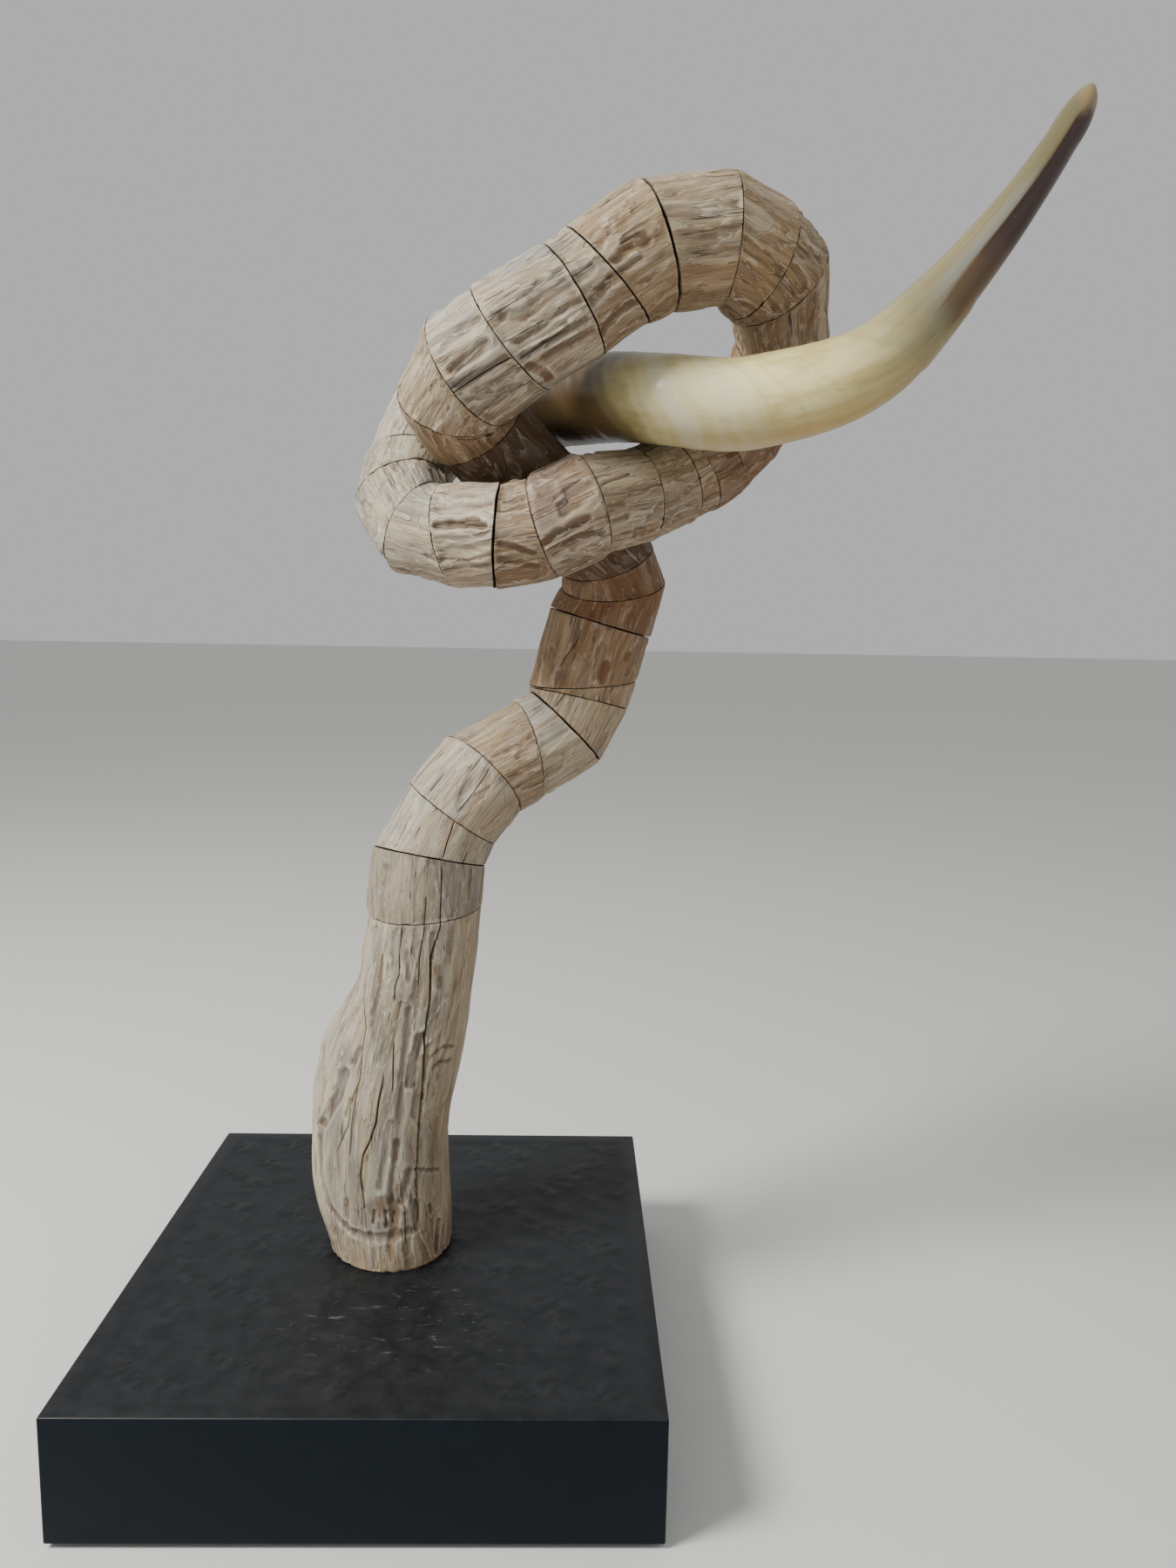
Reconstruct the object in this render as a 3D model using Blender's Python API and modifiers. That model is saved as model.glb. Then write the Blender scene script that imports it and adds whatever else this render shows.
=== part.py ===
"""A steer horn carried by a knotted limb of wedge-cut driftwood logs, on a square black plinth.

The limb rises from the plinth, leans to the right, goes round behind itself and over in a loop,
and its last log holds the base of the horn. Every log is a separate piece of wood, cut flat at
both ends and glued to the next one, so each seam is a flat joint with a hair of clearance.

Units are metres and +Z is up. X runs to the right and Y runs away from the front of the plinth.
The survey below is given in millimetres from the centre of the plinth, at the height of the floor.
"""
import math
from typing import NamedTuple

import bmesh
import bpy
from mathutils import Vector, noise

MM = 0.001
CLEARANCE = 0.3 * MM

# The stand
PLINTH_SIDE = 360 * MM
PLINTH_HEIGHT = 80 * MM
PLINTH_EDGE = 1.2 * MM
PAD_RADIUS = 12.5 * MM
PAD_HEIGHT = 3 * MM
PAD_INSET = 33 * MM
PLINTH_TOP = PAD_HEIGHT + CLEARANCE + PLINTH_HEIGHT

# The whole object is set so that the floor point under the middle of its outline is the origin
HORN_REACH = 421.0 * MM
STAND_X = (PLINTH_SIDE / 2 - HORN_REACH) / 2

# How finely a log is made: sides round it, and where along it the rings of points stand
LOG_SIDES = 20
LOG_RINGS = (0.12, 0.5, 0.88)
FOOT_SIDES = 28
FOOT_RINGS = 12
HORN_STEPS = 24
HORN_SIDE_STEPS = 8

# Weathering of the logs: gentle swells, smaller hollows, and the step from one log to the next
SWELL_HEIGHT = 1.1 * MM
SWELL_LENGTH = 34 * MM
HOLLOW_HEIGHT = 0.6 * MM
HOLLOW_LENGTH = 13 * MM
SEAM_STEP = 0.5 * MM

# The lobe on the left of the lowest log, as heights above the floor and how far it stands out
LOBE_TOP = 282 * MM
LOBE_CREST = 238 * MM
LOBE_REACH = 21 * MM
LOBE_FOOT_REACH = 6 * MM
LOBE_HALF_WIDTH = math.radians(38)
LOBE_HEADING = math.radians(186)


class Seam(NamedTuple):
    """The flat joint under a log: its middle and the limb's thickness there, in millimetres.

    heading and rise give the way up the limb, square to the cut: the compass angle round the
    plinth from +X, and the angle above level, in degrees. swell is how much the log above the
    seam stands out between its two cuts.
    """

    piece: str
    x: float
    y: float
    z: float
    thick: float
    heading: float
    rise: float
    swell: float = 0.0


TRUNK_AXIS = (
    (-5, 8, 83.6),
    (-8, 10, 165),
    (5, 12, 242),
    (17, 12, 335),
)
FOOT_THICK = (87, 83.5, 83, 80)

SEAMS = (
    Seam("trunk_slice_01", 17, 12, 335, 79.5, -124, 84),
    Seam("trunk_slice_02", 20, 12, 372, 79, 45, 76),
    Seam("trunk_slice_03", 36, 16, 402, 74, 8, 54),
    Seam("trunk_slice_04", 56, 24, 428, 74, 31, 40),
    Seam("trunk_slice_05", 86, 35, 444, 71, 20, 13),
    Seam("trunk_slice_06", 114, 42, 462, 71, 11, 45),
    Seam("trunk_slice_07", 123, 43, 482, 72, 25, 77),
    Seam("trunk_slice_08", 126, 43, 494, 73, -122, 85),
    Seam("trunk_slice_09", 138, 39, 537, 74, -7, 74),
    Seam("trunk_slice_10", 147, 38, 564, 73, -101, 69),
    Seam("inner_slice_01", 142, 37, 582, 65, -125, 57),
    Seam("inner_slice_02", 117, 28, 603, 65, -146, 38),
    Seam("inner_slice_03", 94, 5, 623, 66, -140, 32),
    Seam("turn_slice_01", 54, -24, 659, 66, -125, 36),
    Seam("turn_slice_02", 43, -45, 671, 68, -72, 41),
    Seam("top_slice_01", 53, -67, 683, 72, -28, 27),
    Seam("top_slice_02", 80, -74, 701, 73, -20, 35),
    Seam("top_slice_03", 115, -76, 722, 71, 3, 34),
    Seam("top_slice_04", 136, -73, 737, 70, -8, 45),
    Seam("top_slice_05", 164, -65, 757, 75, 6, 21),
    Seam("bend_slice_01", 208, -50, 767, 74, 6, 0),
    Seam("bend_slice_02", 231, -34, 760, 74, 25, -16),
    Seam("bend_slice_03", 246, -12, 756, 71, 42, -29),
    Seam("right_slice_01", 258, 28, 731, 63, 79, -38),
    Seam("right_slice_02", 255, 41, 704, 63, 150, -70),
    Seam("right_slice_03", 228, 37, 668, 65, -159, -57),
    Seam("right_slice_04", 210, 27, 647, 62, -142, -41),
    Seam("front_slice_01", 197, 22, 640, 63, -158, -36),
    Seam("front_slice_02", 184, 12, 632, 63, -152, -26),
    Seam("front_slice_03", 159, -21, 618, 61, -153, -14),
    Seam("front_slice_04", 128, -52, 608, 64, -167, -20),
    Seam("front_slice_05", 100, -63, 593, 62, 170, -18),
    Seam("front_slice_06", 72, -63, 587, 63, 178, 3),
    Seam("end_slice_01", 42, -51, 587, 62, 162, -10),
    Seam("end_slice_02", 20, -36, 593, 63, 152, 25),
    Seam("end_slice_03", 6, -10, 616, 62, 125, 47),
    Seam("back_slice_01", 8, 19, 640, 62, 95, 60),
    Seam("back_slice_02", 17, 39, 672, 61, 45, 45),
    Seam("back_slice_03", 47, 50, 686, 60, -3, 5),
)

# The horn, from its base in the last log to its tip: a point of its axis and its radius there
HORN_ROUTE = (
    (82, 50, 685, 29.5),
    (135, 1, 683, 28.3),
    (174, -52, 672, 26.7),
    (211, -66, 667, 27),
    (238, -75, 670, 26.6),
    (266, -84, 676, 25.2),
    (287, -88, 685, 23.2),
    (303, -90, 697, 21),
    (326, -90, 722, 17.6),
    (348, -87, 748, 14.6),
    (371, -82, 778, 12.2),
    (390, -75, 805, 10.5),
    (407, -68, 832, 8.2),
    (419, -62, 854, 2.2),
)


def clear_scene():
    """Take every object out of the scene."""
    for thing in list(bpy.data.objects):
        bpy.data.objects.remove(thing, do_unlink=True)


def finish_material(name, colour, roughness, metallic=0.0):
    """A plain material of one colour."""
    material = bpy.data.materials.new(name)
    material.use_nodes = True
    shader = material.node_tree.nodes["Principled BSDF"]
    shader.inputs["Base Color"].default_value = (*colour, 1.0)
    shader.inputs["Roughness"].default_value = roughness
    shader.inputs["Metallic"].default_value = metallic
    material.diffuse_color = (*colour, 1.0)
    return material


def add_part(name, mesh, material, location=(0, 0, 0)):
    """Put a finished mesh in the object's collection, on the stand."""
    part = bpy.data.objects.new(name, mesh)
    part.location = location
    part.parent = bpy.data.objects["stand"]
    part.data.materials.append(material)
    bpy.data.collections["mounted_steer_horn"].objects.link(part)
    return part


def mesh_from(bm, name, smooth_angle=40):
    """Turn a working mesh into a finished one, smooth but for its sharp edges."""
    mesh = bpy.data.meshes.new(name)
    bm.to_mesh(mesh)
    bm.free()
    mesh.shade_smooth()
    mesh.set_sharp_from_angle(angle=math.radians(smooth_angle))
    return mesh


def make_plinth():
    """The square block, with its edges just taken off."""
    bm = bmesh.new()
    bmesh.ops.create_cube(bm, size=1.0)
    bmesh.ops.scale(bm, vec=(PLINTH_SIDE, PLINTH_SIDE, PLINTH_HEIGHT), verts=bm.verts)
    paint = finish_material("plinth_paint", (0.018, 0.020, 0.022), 0.55)
    middle = PLINTH_TOP - PLINTH_HEIGHT / 2
    plinth = add_part("plinth", mesh_from(bm, "plinth"), paint, (0, 0, middle))
    edge = plinth.modifiers.new("edge", "BEVEL")
    edge.width = PLINTH_EDGE
    edge.segments = 2


def make_pads():
    """Four thin round felt pads under the corners of the plinth."""
    felt = finish_material("felt", (0.03, 0.03, 0.03), 0.95)
    reach = PLINTH_SIDE / 2 - PAD_INSET
    for side, x in (("left", -reach), ("right", reach)):
        for end, y in (("front", -reach), ("back", reach)):
            bm = bmesh.new()
            bmesh.ops.create_cone(
                bm,
                cap_ends=True,
                segments=24,
                radius1=PAD_RADIUS,
                radius2=PAD_RADIUS,
                depth=PAD_HEIGHT,
            )
            name = f"foot_pad_{end}_{side}"
            add_part(name, mesh_from(bm, name), felt, (x, y, PAD_HEIGHT / 2))


def direction(heading, rise):
    """A unit vector from its compass angle and its angle above level, in degrees."""
    turn = math.radians(heading)
    climb = math.radians(rise)
    level = math.cos(climb)
    return Vector((level * math.cos(turn), level * math.sin(turn), math.sin(climb)))


def weathered(point, log):
    """How far the worn surface stands out at a point of the limb, each log having its own hollows."""
    swell = SWELL_HEIGHT * noise.noise(point / SWELL_LENGTH)
    hollow = HOLLOW_HEIGHT * noise.noise(point / HOLLOW_LENGTH + Vector((log, 0, 0)))
    return swell + hollow


def smooth_point(before, start, end, after, share):
    """A point of the smooth curve that runs from start to end between its two neighbours."""
    bend = (end - before) / 2
    pull = (after - start) / 2
    square = share * share
    cube = square * share
    return (
        start * (2 * cube - 3 * square + 1)
        + bend * (cube - 2 * square + share)
        + end * (3 * square - 2 * cube)
        + pull * (cube - square)
    )


def smooth_route(points, steps):
    """Points spread evenly by number along a smooth curve through the given ones."""
    first = points[0] * 2 - points[1]
    last = points[-1] * 2 - points[-2]
    padded = [first, *points, last]
    spans = len(points) - 1
    route = []
    for step in range(steps + 1):
        along = spans * step / steps
        span = min(int(along), spans - 1)
        before, start, end, after = padded[span : span + 4]
        route.append(smooth_point(before, start, end, after, along - span))
    return route


class Cut:
    """A seam as cut: the limb's own directions there, and the flat of the joint."""

    def __init__(self, middle, radius, along, square, guide):
        self.middle = middle
        self.radius = radius
        self.along = along
        self.square = square
        self.side = (guide - along * guide.dot(along)).normalized()
        self.other = along.cross(self.side)

    def rim(self, angle, shift=0.0):
        """The point of the round limb's surface on this joint, and the way out from its axis."""
        out = self.side * math.cos(angle) + self.other * math.sin(angle)
        slip = (shift - (out * self.radius).dot(self.square)) / self.along.dot(self.square)
        return self.middle + out * self.radius + self.along * slip, out


def unit_log(sides, rings):
    """A round log, one unit thick and long, with extra rings of points along it."""
    bm = bmesh.new()
    bmesh.ops.create_cone(bm, cap_ends=True, segments=sides, radius1=1, radius2=1, depth=1)
    for ring in rings:
        bmesh.ops.bisect_plane(
            bm,
            geom=bm.verts[:] + bm.edges[:] + bm.faces[:],
            plane_co=(0, 0, ring - 0.5),
            plane_no=(0, 0, 1),
        )
    return bm


def cut_limb():
    """Every joint of the limb in order, with the horn's seat as the last."""
    horn = [Vector(point[:3]) * MM for point in HORN_ROUTE]
    seat = smooth_route(horn, HORN_STEPS)
    middles = [Vector((seam.x, seam.y, seam.z)) * MM for seam in SEAMS] + [horn[0]]
    squares = [direction(seam.heading, seam.rise) for seam in SEAMS]
    squares.append((seat[1] - seat[0]).normalized())
    radii = [seam.thick * MM / 2 for seam in SEAMS] + [HORN_ROUTE[0][3] * MM]
    before = [Vector(TRUNK_AXIS[-2]) * MM] + middles[:-1]
    after = middles[1:] + [horn[1]]
    guide = Vector((1, 0, 0))
    cuts = []
    for middle, radius, square, back, ahead in zip(middles, radii, squares, before, after):
        along = ((ahead - middle).normalized() + (middle - back).normalized()).normalized()
        cuts.append(Cut(middle, radius, along, square, guide))
        guide = cuts[-1].side
    return cuts


def make_log(seam, lower, upper, number):
    """One log between two joints, worn round but flat where it is cut."""
    bm = unit_log(LOG_SIDES, LOG_RINGS)
    step = SEAM_STEP * math.sin(2.4 * number)
    for vert in bm.verts:
        angle = math.atan2(vert.co.y, vert.co.x)
        share = vert.co.z + 0.5
        foot, out_below = lower.rim(angle, CLEARANCE / 2)
        head, out_above = upper.rim(angle, -CLEARANCE / 2)
        out = out_below.lerp(out_above, share)
        point = foot.lerp(head, share)
        crown = 4 * share * (1 - share)
        stand_out = weathered(point, number) * crown + step * crown + seam.swell * MM * crown
        vert.co = point + out * stand_out - lower.middle
    tone = 0.5 + 0.5 * math.sin(1.7 * number)
    colour = (0.50 + 0.08 * tone, 0.41 + 0.06 * tone, 0.30 + 0.05 * tone)
    wood = finish_material(f"driftwood_{number:02d}", colour, 0.75)
    add_part(seam.piece, mesh_from(bm, seam.piece), wood, lower.middle)


def lobe_reach(height, heading):
    """How far the lobe on the lowest log stands out at a height, on a side of the log."""
    if height >= LOBE_CREST:
        share = (LOBE_TOP - height) / (LOBE_TOP - LOBE_CREST)
        reach = LOBE_REACH * max(0.0, min(1.0, share))
    else:
        share = (height - PLINTH_TOP) / (LOBE_CREST - PLINTH_TOP)
        reach = LOBE_FOOT_REACH + (LOBE_REACH - LOBE_FOOT_REACH) * max(0.0, share) ** 0.6
    away = math.remainder(heading - LOBE_HEADING, math.tau) / LOBE_HALF_WIDTH
    return reach * math.exp(-away * away)


def make_trunk_foot(top):
    """The long lowest log, from the plinth to the first seam, with the lobe on its left."""
    rings = [ring / FOOT_RINGS for ring in range(1, FOOT_RINGS)]
    bm = unit_log(FOOT_SIDES, rings)
    axis = [Vector(point) * MM for point in TRUNK_AXIS]
    axis[-1] = top.middle
    girth = [Vector((thick * MM / 2, 0, 0)) for thick in FOOT_THICK]
    route = smooth_route(axis, FOOT_RINGS)
    radii = smooth_route(girth, FOOT_RINGS)
    for vert in bm.verts:
        angle = math.atan2(vert.co.y, vert.co.x)
        share = vert.co.z + 0.5
        ring = round(share * FOOT_RINGS)
        out = Vector((math.cos(angle), math.sin(angle), 0))
        if ring == FOOT_RINGS:
            # The head of the log lies on the first seam, a little under its flat
            flat = top.square
            rim = out * top.radius
            drop = (-CLEARANCE / 2 - rim.dot(flat)) / flat.z
            vert.co = top.middle + rim + Vector((0, 0, drop))
            continue
        point = route[ring] + out * radii[ring].x
        stand_out = lobe_reach(point.z, angle)
        if ring > 0:
            stand_out += weathered(point, 0)
        vert.co = point + out * stand_out
    colour = (0.53, 0.44, 0.33)
    wood = finish_material("driftwood_foot", colour, 0.75)
    add_part("trunk_foot", mesh_from(bm, "trunk_foot"), wood)


def make_horn():
    """The horn: a round, tapering tube along its own curve, closed at the base and the tip."""
    middles = [Vector(point[:3]) * MM for point in HORN_ROUTE]
    girths = [Vector((point[3] * MM, 0, 0)) for point in HORN_ROUTE]
    route = smooth_route(middles, HORN_STEPS)
    radii = smooth_route(girths, HORN_STEPS)
    route[0] += (route[1] - route[0]).normalized() * CLEARANCE / 2
    curve = bpy.data.curves.new("horn", "CURVE")
    curve.dimensions = "3D"
    curve.bevel_depth = 1.0
    curve.bevel_resolution = HORN_SIDE_STEPS
    curve.use_fill_caps = True
    spline = curve.splines.new("POLY")
    spline.points.add(len(route) - 1)
    for knot, point, radius in zip(spline.points, route, radii):
        knot.co = (*point, 1.0)
        knot.radius = radius.x
    spline.use_smooth = True
    keratin = finish_material("horn", (0.62, 0.56, 0.36), 0.3)
    add_part("horn", curve, keratin)


def build():
    """Model the whole object."""
    clear_scene()
    collection = bpy.data.collections.new("mounted_steer_horn")
    bpy.context.scene.collection.children.link(collection)
    stand = bpy.data.objects.new("stand", None)
    stand.location = (STAND_X, 0, 0)
    collection.objects.link(stand)
    make_pads()
    make_plinth()
    cuts = cut_limb()
    make_trunk_foot(cuts[0])
    for number, seam in enumerate(SEAMS):
        make_log(seam, cuts[number], cuts[number + 1], number + 1)
    make_horn()


build()
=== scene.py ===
"""The looks of a mounted steer horn: a knotted driftwood limb, a polished horn and a black plinth.

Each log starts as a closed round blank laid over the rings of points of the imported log. Then it is
worn: its seams open, and cracks, galleries, flakes and grooves run along its grain. Metres, +Z up.
"""
import math
from typing import NamedTuple

import bpy
import numpy as np
from mathutils import Matrix, Vector, noise


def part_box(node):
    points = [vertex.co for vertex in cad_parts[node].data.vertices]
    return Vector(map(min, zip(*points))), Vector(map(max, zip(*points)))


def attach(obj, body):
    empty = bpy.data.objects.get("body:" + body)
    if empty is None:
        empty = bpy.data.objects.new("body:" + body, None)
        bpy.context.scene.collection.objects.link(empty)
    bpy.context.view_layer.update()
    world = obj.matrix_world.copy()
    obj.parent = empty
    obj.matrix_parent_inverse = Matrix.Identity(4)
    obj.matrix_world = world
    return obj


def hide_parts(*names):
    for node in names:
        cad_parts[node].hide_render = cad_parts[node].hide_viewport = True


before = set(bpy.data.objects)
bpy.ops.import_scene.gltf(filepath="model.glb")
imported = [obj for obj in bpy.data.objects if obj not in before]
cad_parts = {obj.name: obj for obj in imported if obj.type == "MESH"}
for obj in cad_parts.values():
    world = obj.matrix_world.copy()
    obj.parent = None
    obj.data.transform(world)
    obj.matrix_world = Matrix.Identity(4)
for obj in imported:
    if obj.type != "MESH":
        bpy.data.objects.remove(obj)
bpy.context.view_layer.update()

MM = 0.001
TAU = math.tau

# The photograph's picture in pixels, and its camera, from the middle of the plinth's top
IMAGE_WIDTH = 1350
IMAGE_HEIGHT = 1800
FOCAL_PIXELS = 1268
SENSOR_LONG_SIDE = 36.0
CAMERA_PLACE = (0.1154, -0.7560, 0.4475)
CAMERA_YAW = math.radians(1.16)
CAMERA_PITCH = math.radians(7.90)
CAMERA_ROLL = math.radians(0.99)

# How finely the blanks are made: points round them and rows of points along them
LOG_COLUMNS = 220
LOG_ROWS = 36
FOOT_COLUMNS = 300
FOOT_ROWS = 195
HORN_COLUMNS = 96
HORN_ROWS = 199

# How many sines and cosines follow the outline of a packed ring
LOG_WAVES = 6
FOOT_WAVES = 8
HORN_WAVES = 3

# A height far below the plinth, which tells the lower end of the trunk's foot
FAR_BELOW = -1.0

# How many slices each stretch of the limb has, in order from the foot to the horn
STRETCHES = {
    "trunk": 10,
    "inner": 3,
    "turn": 2,
    "top": 5,
    "bend": 3,
    "right": 4,
    "front": 6,
    "end": 3,
    "back": 3,
}
LIMB = ["trunk_foot"]
for stretch, count in STRETCHES.items():
    LIMB += [f"{stretch}_slice_{number:02d}" for number in range(1, count + 1)]

# How far the seam under a log stands open, in millimetres; the others are tight
OPEN_SEAMS = {
    "trunk_slice_02": 0.45,
    "trunk_slice_06": 0.60,
    "trunk_slice_09": 0.45,
    "top_slice_03": 0.55,
    "top_slice_04": 0.50,
    "top_slice_05": 0.85,
    "bend_slice_03": 0.45,
    "front_slice_02": 0.50,
    "front_slice_06": 0.80,
    "end_slice_02": 0.45,
}
TIGHT_SEAM = 0.22
LOWEST_SEAM = 0.20


def deselect_all():
    """Nothing selected, so that an operator acts only on what is picked for it."""
    bpy.ops.object.select_all(action="DESELECT")


def ease(value, low, high):
    """From 0 at low to 1 at high, gently at both ends."""
    share = np.clip((value - low) / (high - low), 0, 1)
    return share * share * (3 - 2 * share)


def window(value, start, full, fade, end):
    """1 from full to fade, eased to 0 at start and at end."""
    return ease(value, start, full) * ease(value, end, fade)


def unit(*direction):
    """A direction one unit long."""
    return np.array(direction) / np.linalg.norm(direction)


def grain_places(girth, angles, ways):
    """Places in a straight round log whose grain runs along z, for noise and for the materials."""
    return np.stack((girth * np.cos(angles), girth * np.sin(angles), ways), axis=-1)


def rough(places, across, along, seed):
    """Noise from -1 to 1, with bumps of a size across the grain and of another along it."""
    spots = places.reshape(-1, 3) / (across, across, along) + seed
    heights = [noise.noise(spot) for spot in spots.tolist()]
    return np.array(heights).reshape(places.shape[:-1])


def blur(field, times):
    """A field over a blank's rows and columns, smoothed by its neighbours again and again."""
    for _ in range(times):
        round_way = (np.roll(field, 1, axis=1) + field + np.roll(field, -1, axis=1)) / 3
        padded = np.pad(round_way, ((1, 1), (0, 0)), mode="edge")
        field = (padded[:-2] + padded[1:-1] + padded[2:]) / 3
    return field


def corners(node):
    """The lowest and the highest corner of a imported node."""
    low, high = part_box(node)
    return Vector(low), Vector(high)


# The camera, the light and the floor


def camera_axes():
    """The camera's right, up and ahead directions."""
    level = math.cos(CAMERA_PITCH)
    heading = (math.sin(CAMERA_YAW) * level, math.cos(CAMERA_YAW) * level, -math.sin(CAMERA_PITCH))
    ahead = Vector(heading)
    flat = Vector((math.cos(CAMERA_YAW), -math.sin(CAMERA_YAW), 0))
    above = flat.cross(ahead)
    right = flat * math.cos(CAMERA_ROLL) + above * math.sin(CAMERA_ROLL)
    up = above * math.cos(CAMERA_ROLL) - flat * math.sin(CAMERA_ROLL)
    return right, up, ahead


def camera_place():
    """Where the camera stands, measured from the middle of the plinth's top."""
    low, high = corners("plinth")
    return Vector(((low.x + high.x) / 2, (low.y + high.y) / 2, high.z)) + Vector(CAMERA_PLACE)


def seen_at(points):
    """The photograph's pixel at which each point shows."""
    right, up, ahead = (np.array(axis) for axis in camera_axes())
    reach = points - np.array(camera_place())
    depth = reach @ ahead
    across = IMAGE_WIDTH / 2 + FOCAL_PIXELS * (reach @ right) / depth
    down = IMAGE_HEIGHT / 2 - FOCAL_PIXELS * (reach @ up) / depth
    return np.stack((across, down), axis=-1)


def make_camera():
    """The photograph's camera."""
    right, up, ahead = camera_axes()
    data = bpy.data.cameras.new("camera")
    data.sensor_width = SENSOR_LONG_SIDE
    data.lens = FOCAL_PIXELS / IMAGE_HEIGHT * SENSOR_LONG_SIDE
    camera = bpy.data.objects.new("camera", data)
    turn = Matrix((right, up, -ahead)).transposed().to_4x4()
    camera.matrix_world = Matrix.Translation(camera_place()) @ turn
    bpy.context.scene.collection.objects.link(camera)
    bpy.context.scene.camera = camera


def add_soft_light(name, place, aim, size, power, colour):
    """A large soft lamp that faces a point."""
    data = bpy.data.lights.new(name, "AREA")
    data.shape = "DISK"
    data.size = size
    data.energy = power
    data.color = colour
    lamp = bpy.data.objects.new(name, data)
    lamp.location = place
    lamp.rotation_mode = "QUATERNION"
    lamp.rotation_quaternion = (Vector(aim) - Vector(place)).to_track_quat("-Z", "Y")
    bpy.context.scene.collection.objects.link(lamp)


def make_studio():
    """A plain pale floor under soft light from the upper left."""
    aim = (0, 0, 0.45)
    add_soft_light("key", (-1.5, -0.8, 1.9), aim, 0.8, 78, (1.0, 0.97, 0.92))
    add_soft_light("fill", (1.7, -1.5, 1.1), aim, 1.8, 4, (0.90, 0.95, 1.0))
    world = bpy.data.worlds.new("studio")
    world.use_nodes = True
    backdrop = world.node_tree.nodes["Background"]
    backdrop.inputs["Color"].default_value = (0.80, 0.80, 0.80, 1)
    backdrop.inputs["Strength"].default_value = 0.66
    bpy.context.scene.world = world
    deselect_all()
    bpy.ops.mesh.primitive_plane_add(size=60, location=(0, 0, 0))
    floor = bpy.context.object
    floor.name = "floor"
    paper, make, shader = new_material("pale_floor")
    make.fill(shader.inputs, {"Base Color": (0.70, 0.70, 0.68, 1), "Roughness": 0.7})
    floor.data.materials.append(paper)


# Node trees


class Recipe:
    """A node tree in the making: each call adds a node and gives back what it puts out."""

    def __init__(self, tree):
        self.tree = tree

    def fill(self, inputs, sockets):
        """Joins or sets some of a node's inputs."""
        for name, value in sockets.items():
            if isinstance(value, bpy.types.NodeSocket):
                self.tree.links.new(value, inputs[name])
            else:
                inputs[name].default_value = value

    def add(self, kind, sockets, **settings):
        """A node with its settings, and with its sockets joined or set."""
        node = self.tree.nodes.new(kind)
        for name, value in settings.items():
            setattr(node, name, value)
        self.fill(node.inputs, sockets)
        return node

    def attribute(self, name, output="Fac"):
        """What the mesh stores under a name."""
        return self.add("ShaderNodeAttribute", {}, attribute_name=name).outputs[output]

    def noise(self, place, scale, detail, roughness, distortion=0.0, shift=(0, 0, 0)):
        """Soft noise from 0 to 1 at a place scaled along each axis and shifted."""
        sockets = {"Vector": place, "Scale": scale, "Location": shift}
        sockets = {
            "Vector": self.add("ShaderNodeMapping", sockets).outputs["Vector"],
            "Scale": 1.0,
            "Detail": detail,
            "Roughness": roughness,
            "Distortion": distortion,
        }
        return self.add("ShaderNodeTexNoise", sockets).outputs[0]

    def maths(self, kind, first, second=0.0, clamp=False):
        """Arithmetic on one or two values."""
        sockets = {0: first, 1: second}
        return self.add("ShaderNodeMath", sockets, operation=kind, use_clamp=clamp).outputs[0]

    def plus(self, first, second, clamp=False):
        """The sum of two values."""
        return self.maths("ADD", first, second, clamp)

    def minus(self, first, second):
        """The difference of two values."""
        return self.maths("SUBTRACT", first, second)

    def times(self, first, second):
        """The product of two values."""
        return self.maths("MULTIPLY", first, second)

    def span(self, value, low, high, start=0.0, end=1.0):
        """A value eased from start to end as it goes from low to high."""
        sockets = {"Value": value, "From Min": low, "From Max": high, "To Min": start, "To Max": end}
        return self.add("ShaderNodeMapRange", sockets, interpolation_type="SMOOTHSTEP").outputs["Result"]

    def blend(self, share, first, second):
        """Two colours mixed."""
        sockets = {0: share, 6: first, 7: second}
        return self.add("ShaderNodeMix", sockets, data_type="RGBA").outputs[2]

    def layers(self, colour, *coats):
        """A colour under coats of other colours, each given as its share and its colour."""
        for share, coat in coats:
            colour = self.blend(share, colour, coat)
        return colour

    def bump(self, height, distance, strength=1.0):
        """A normal tilted by a height."""
        sockets = {"Height": height, "Distance": distance, "Strength": strength}
        return self.add("ShaderNodeBump", sockets).outputs["Normal"]


def new_group(name, inputs, outputs):
    """An empty node group, with its sockets and the nodes that bring them in and take them out."""
    tree = bpy.data.node_groups.new(name, "ShaderNodeTree")
    for label, kind in outputs:
        tree.interface.new_socket(label, in_out="OUTPUT", socket_type=kind)
    for label, kind, value in inputs:
        socket = tree.interface.new_socket(label, in_out="INPUT", socket_type=kind)
        socket.default_value = value
    enter = tree.nodes.new("NodeGroupInput")
    leave = tree.nodes.new("NodeGroupOutput")
    return Recipe(tree), enter.outputs, leave.inputs


def new_material(name):
    """A material with its tree and its Principled shader."""
    material = bpy.data.materials.new(name)
    material.use_nodes = True
    return material, Recipe(material.node_tree), material.node_tree.nodes["Principled BSDF"]


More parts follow.
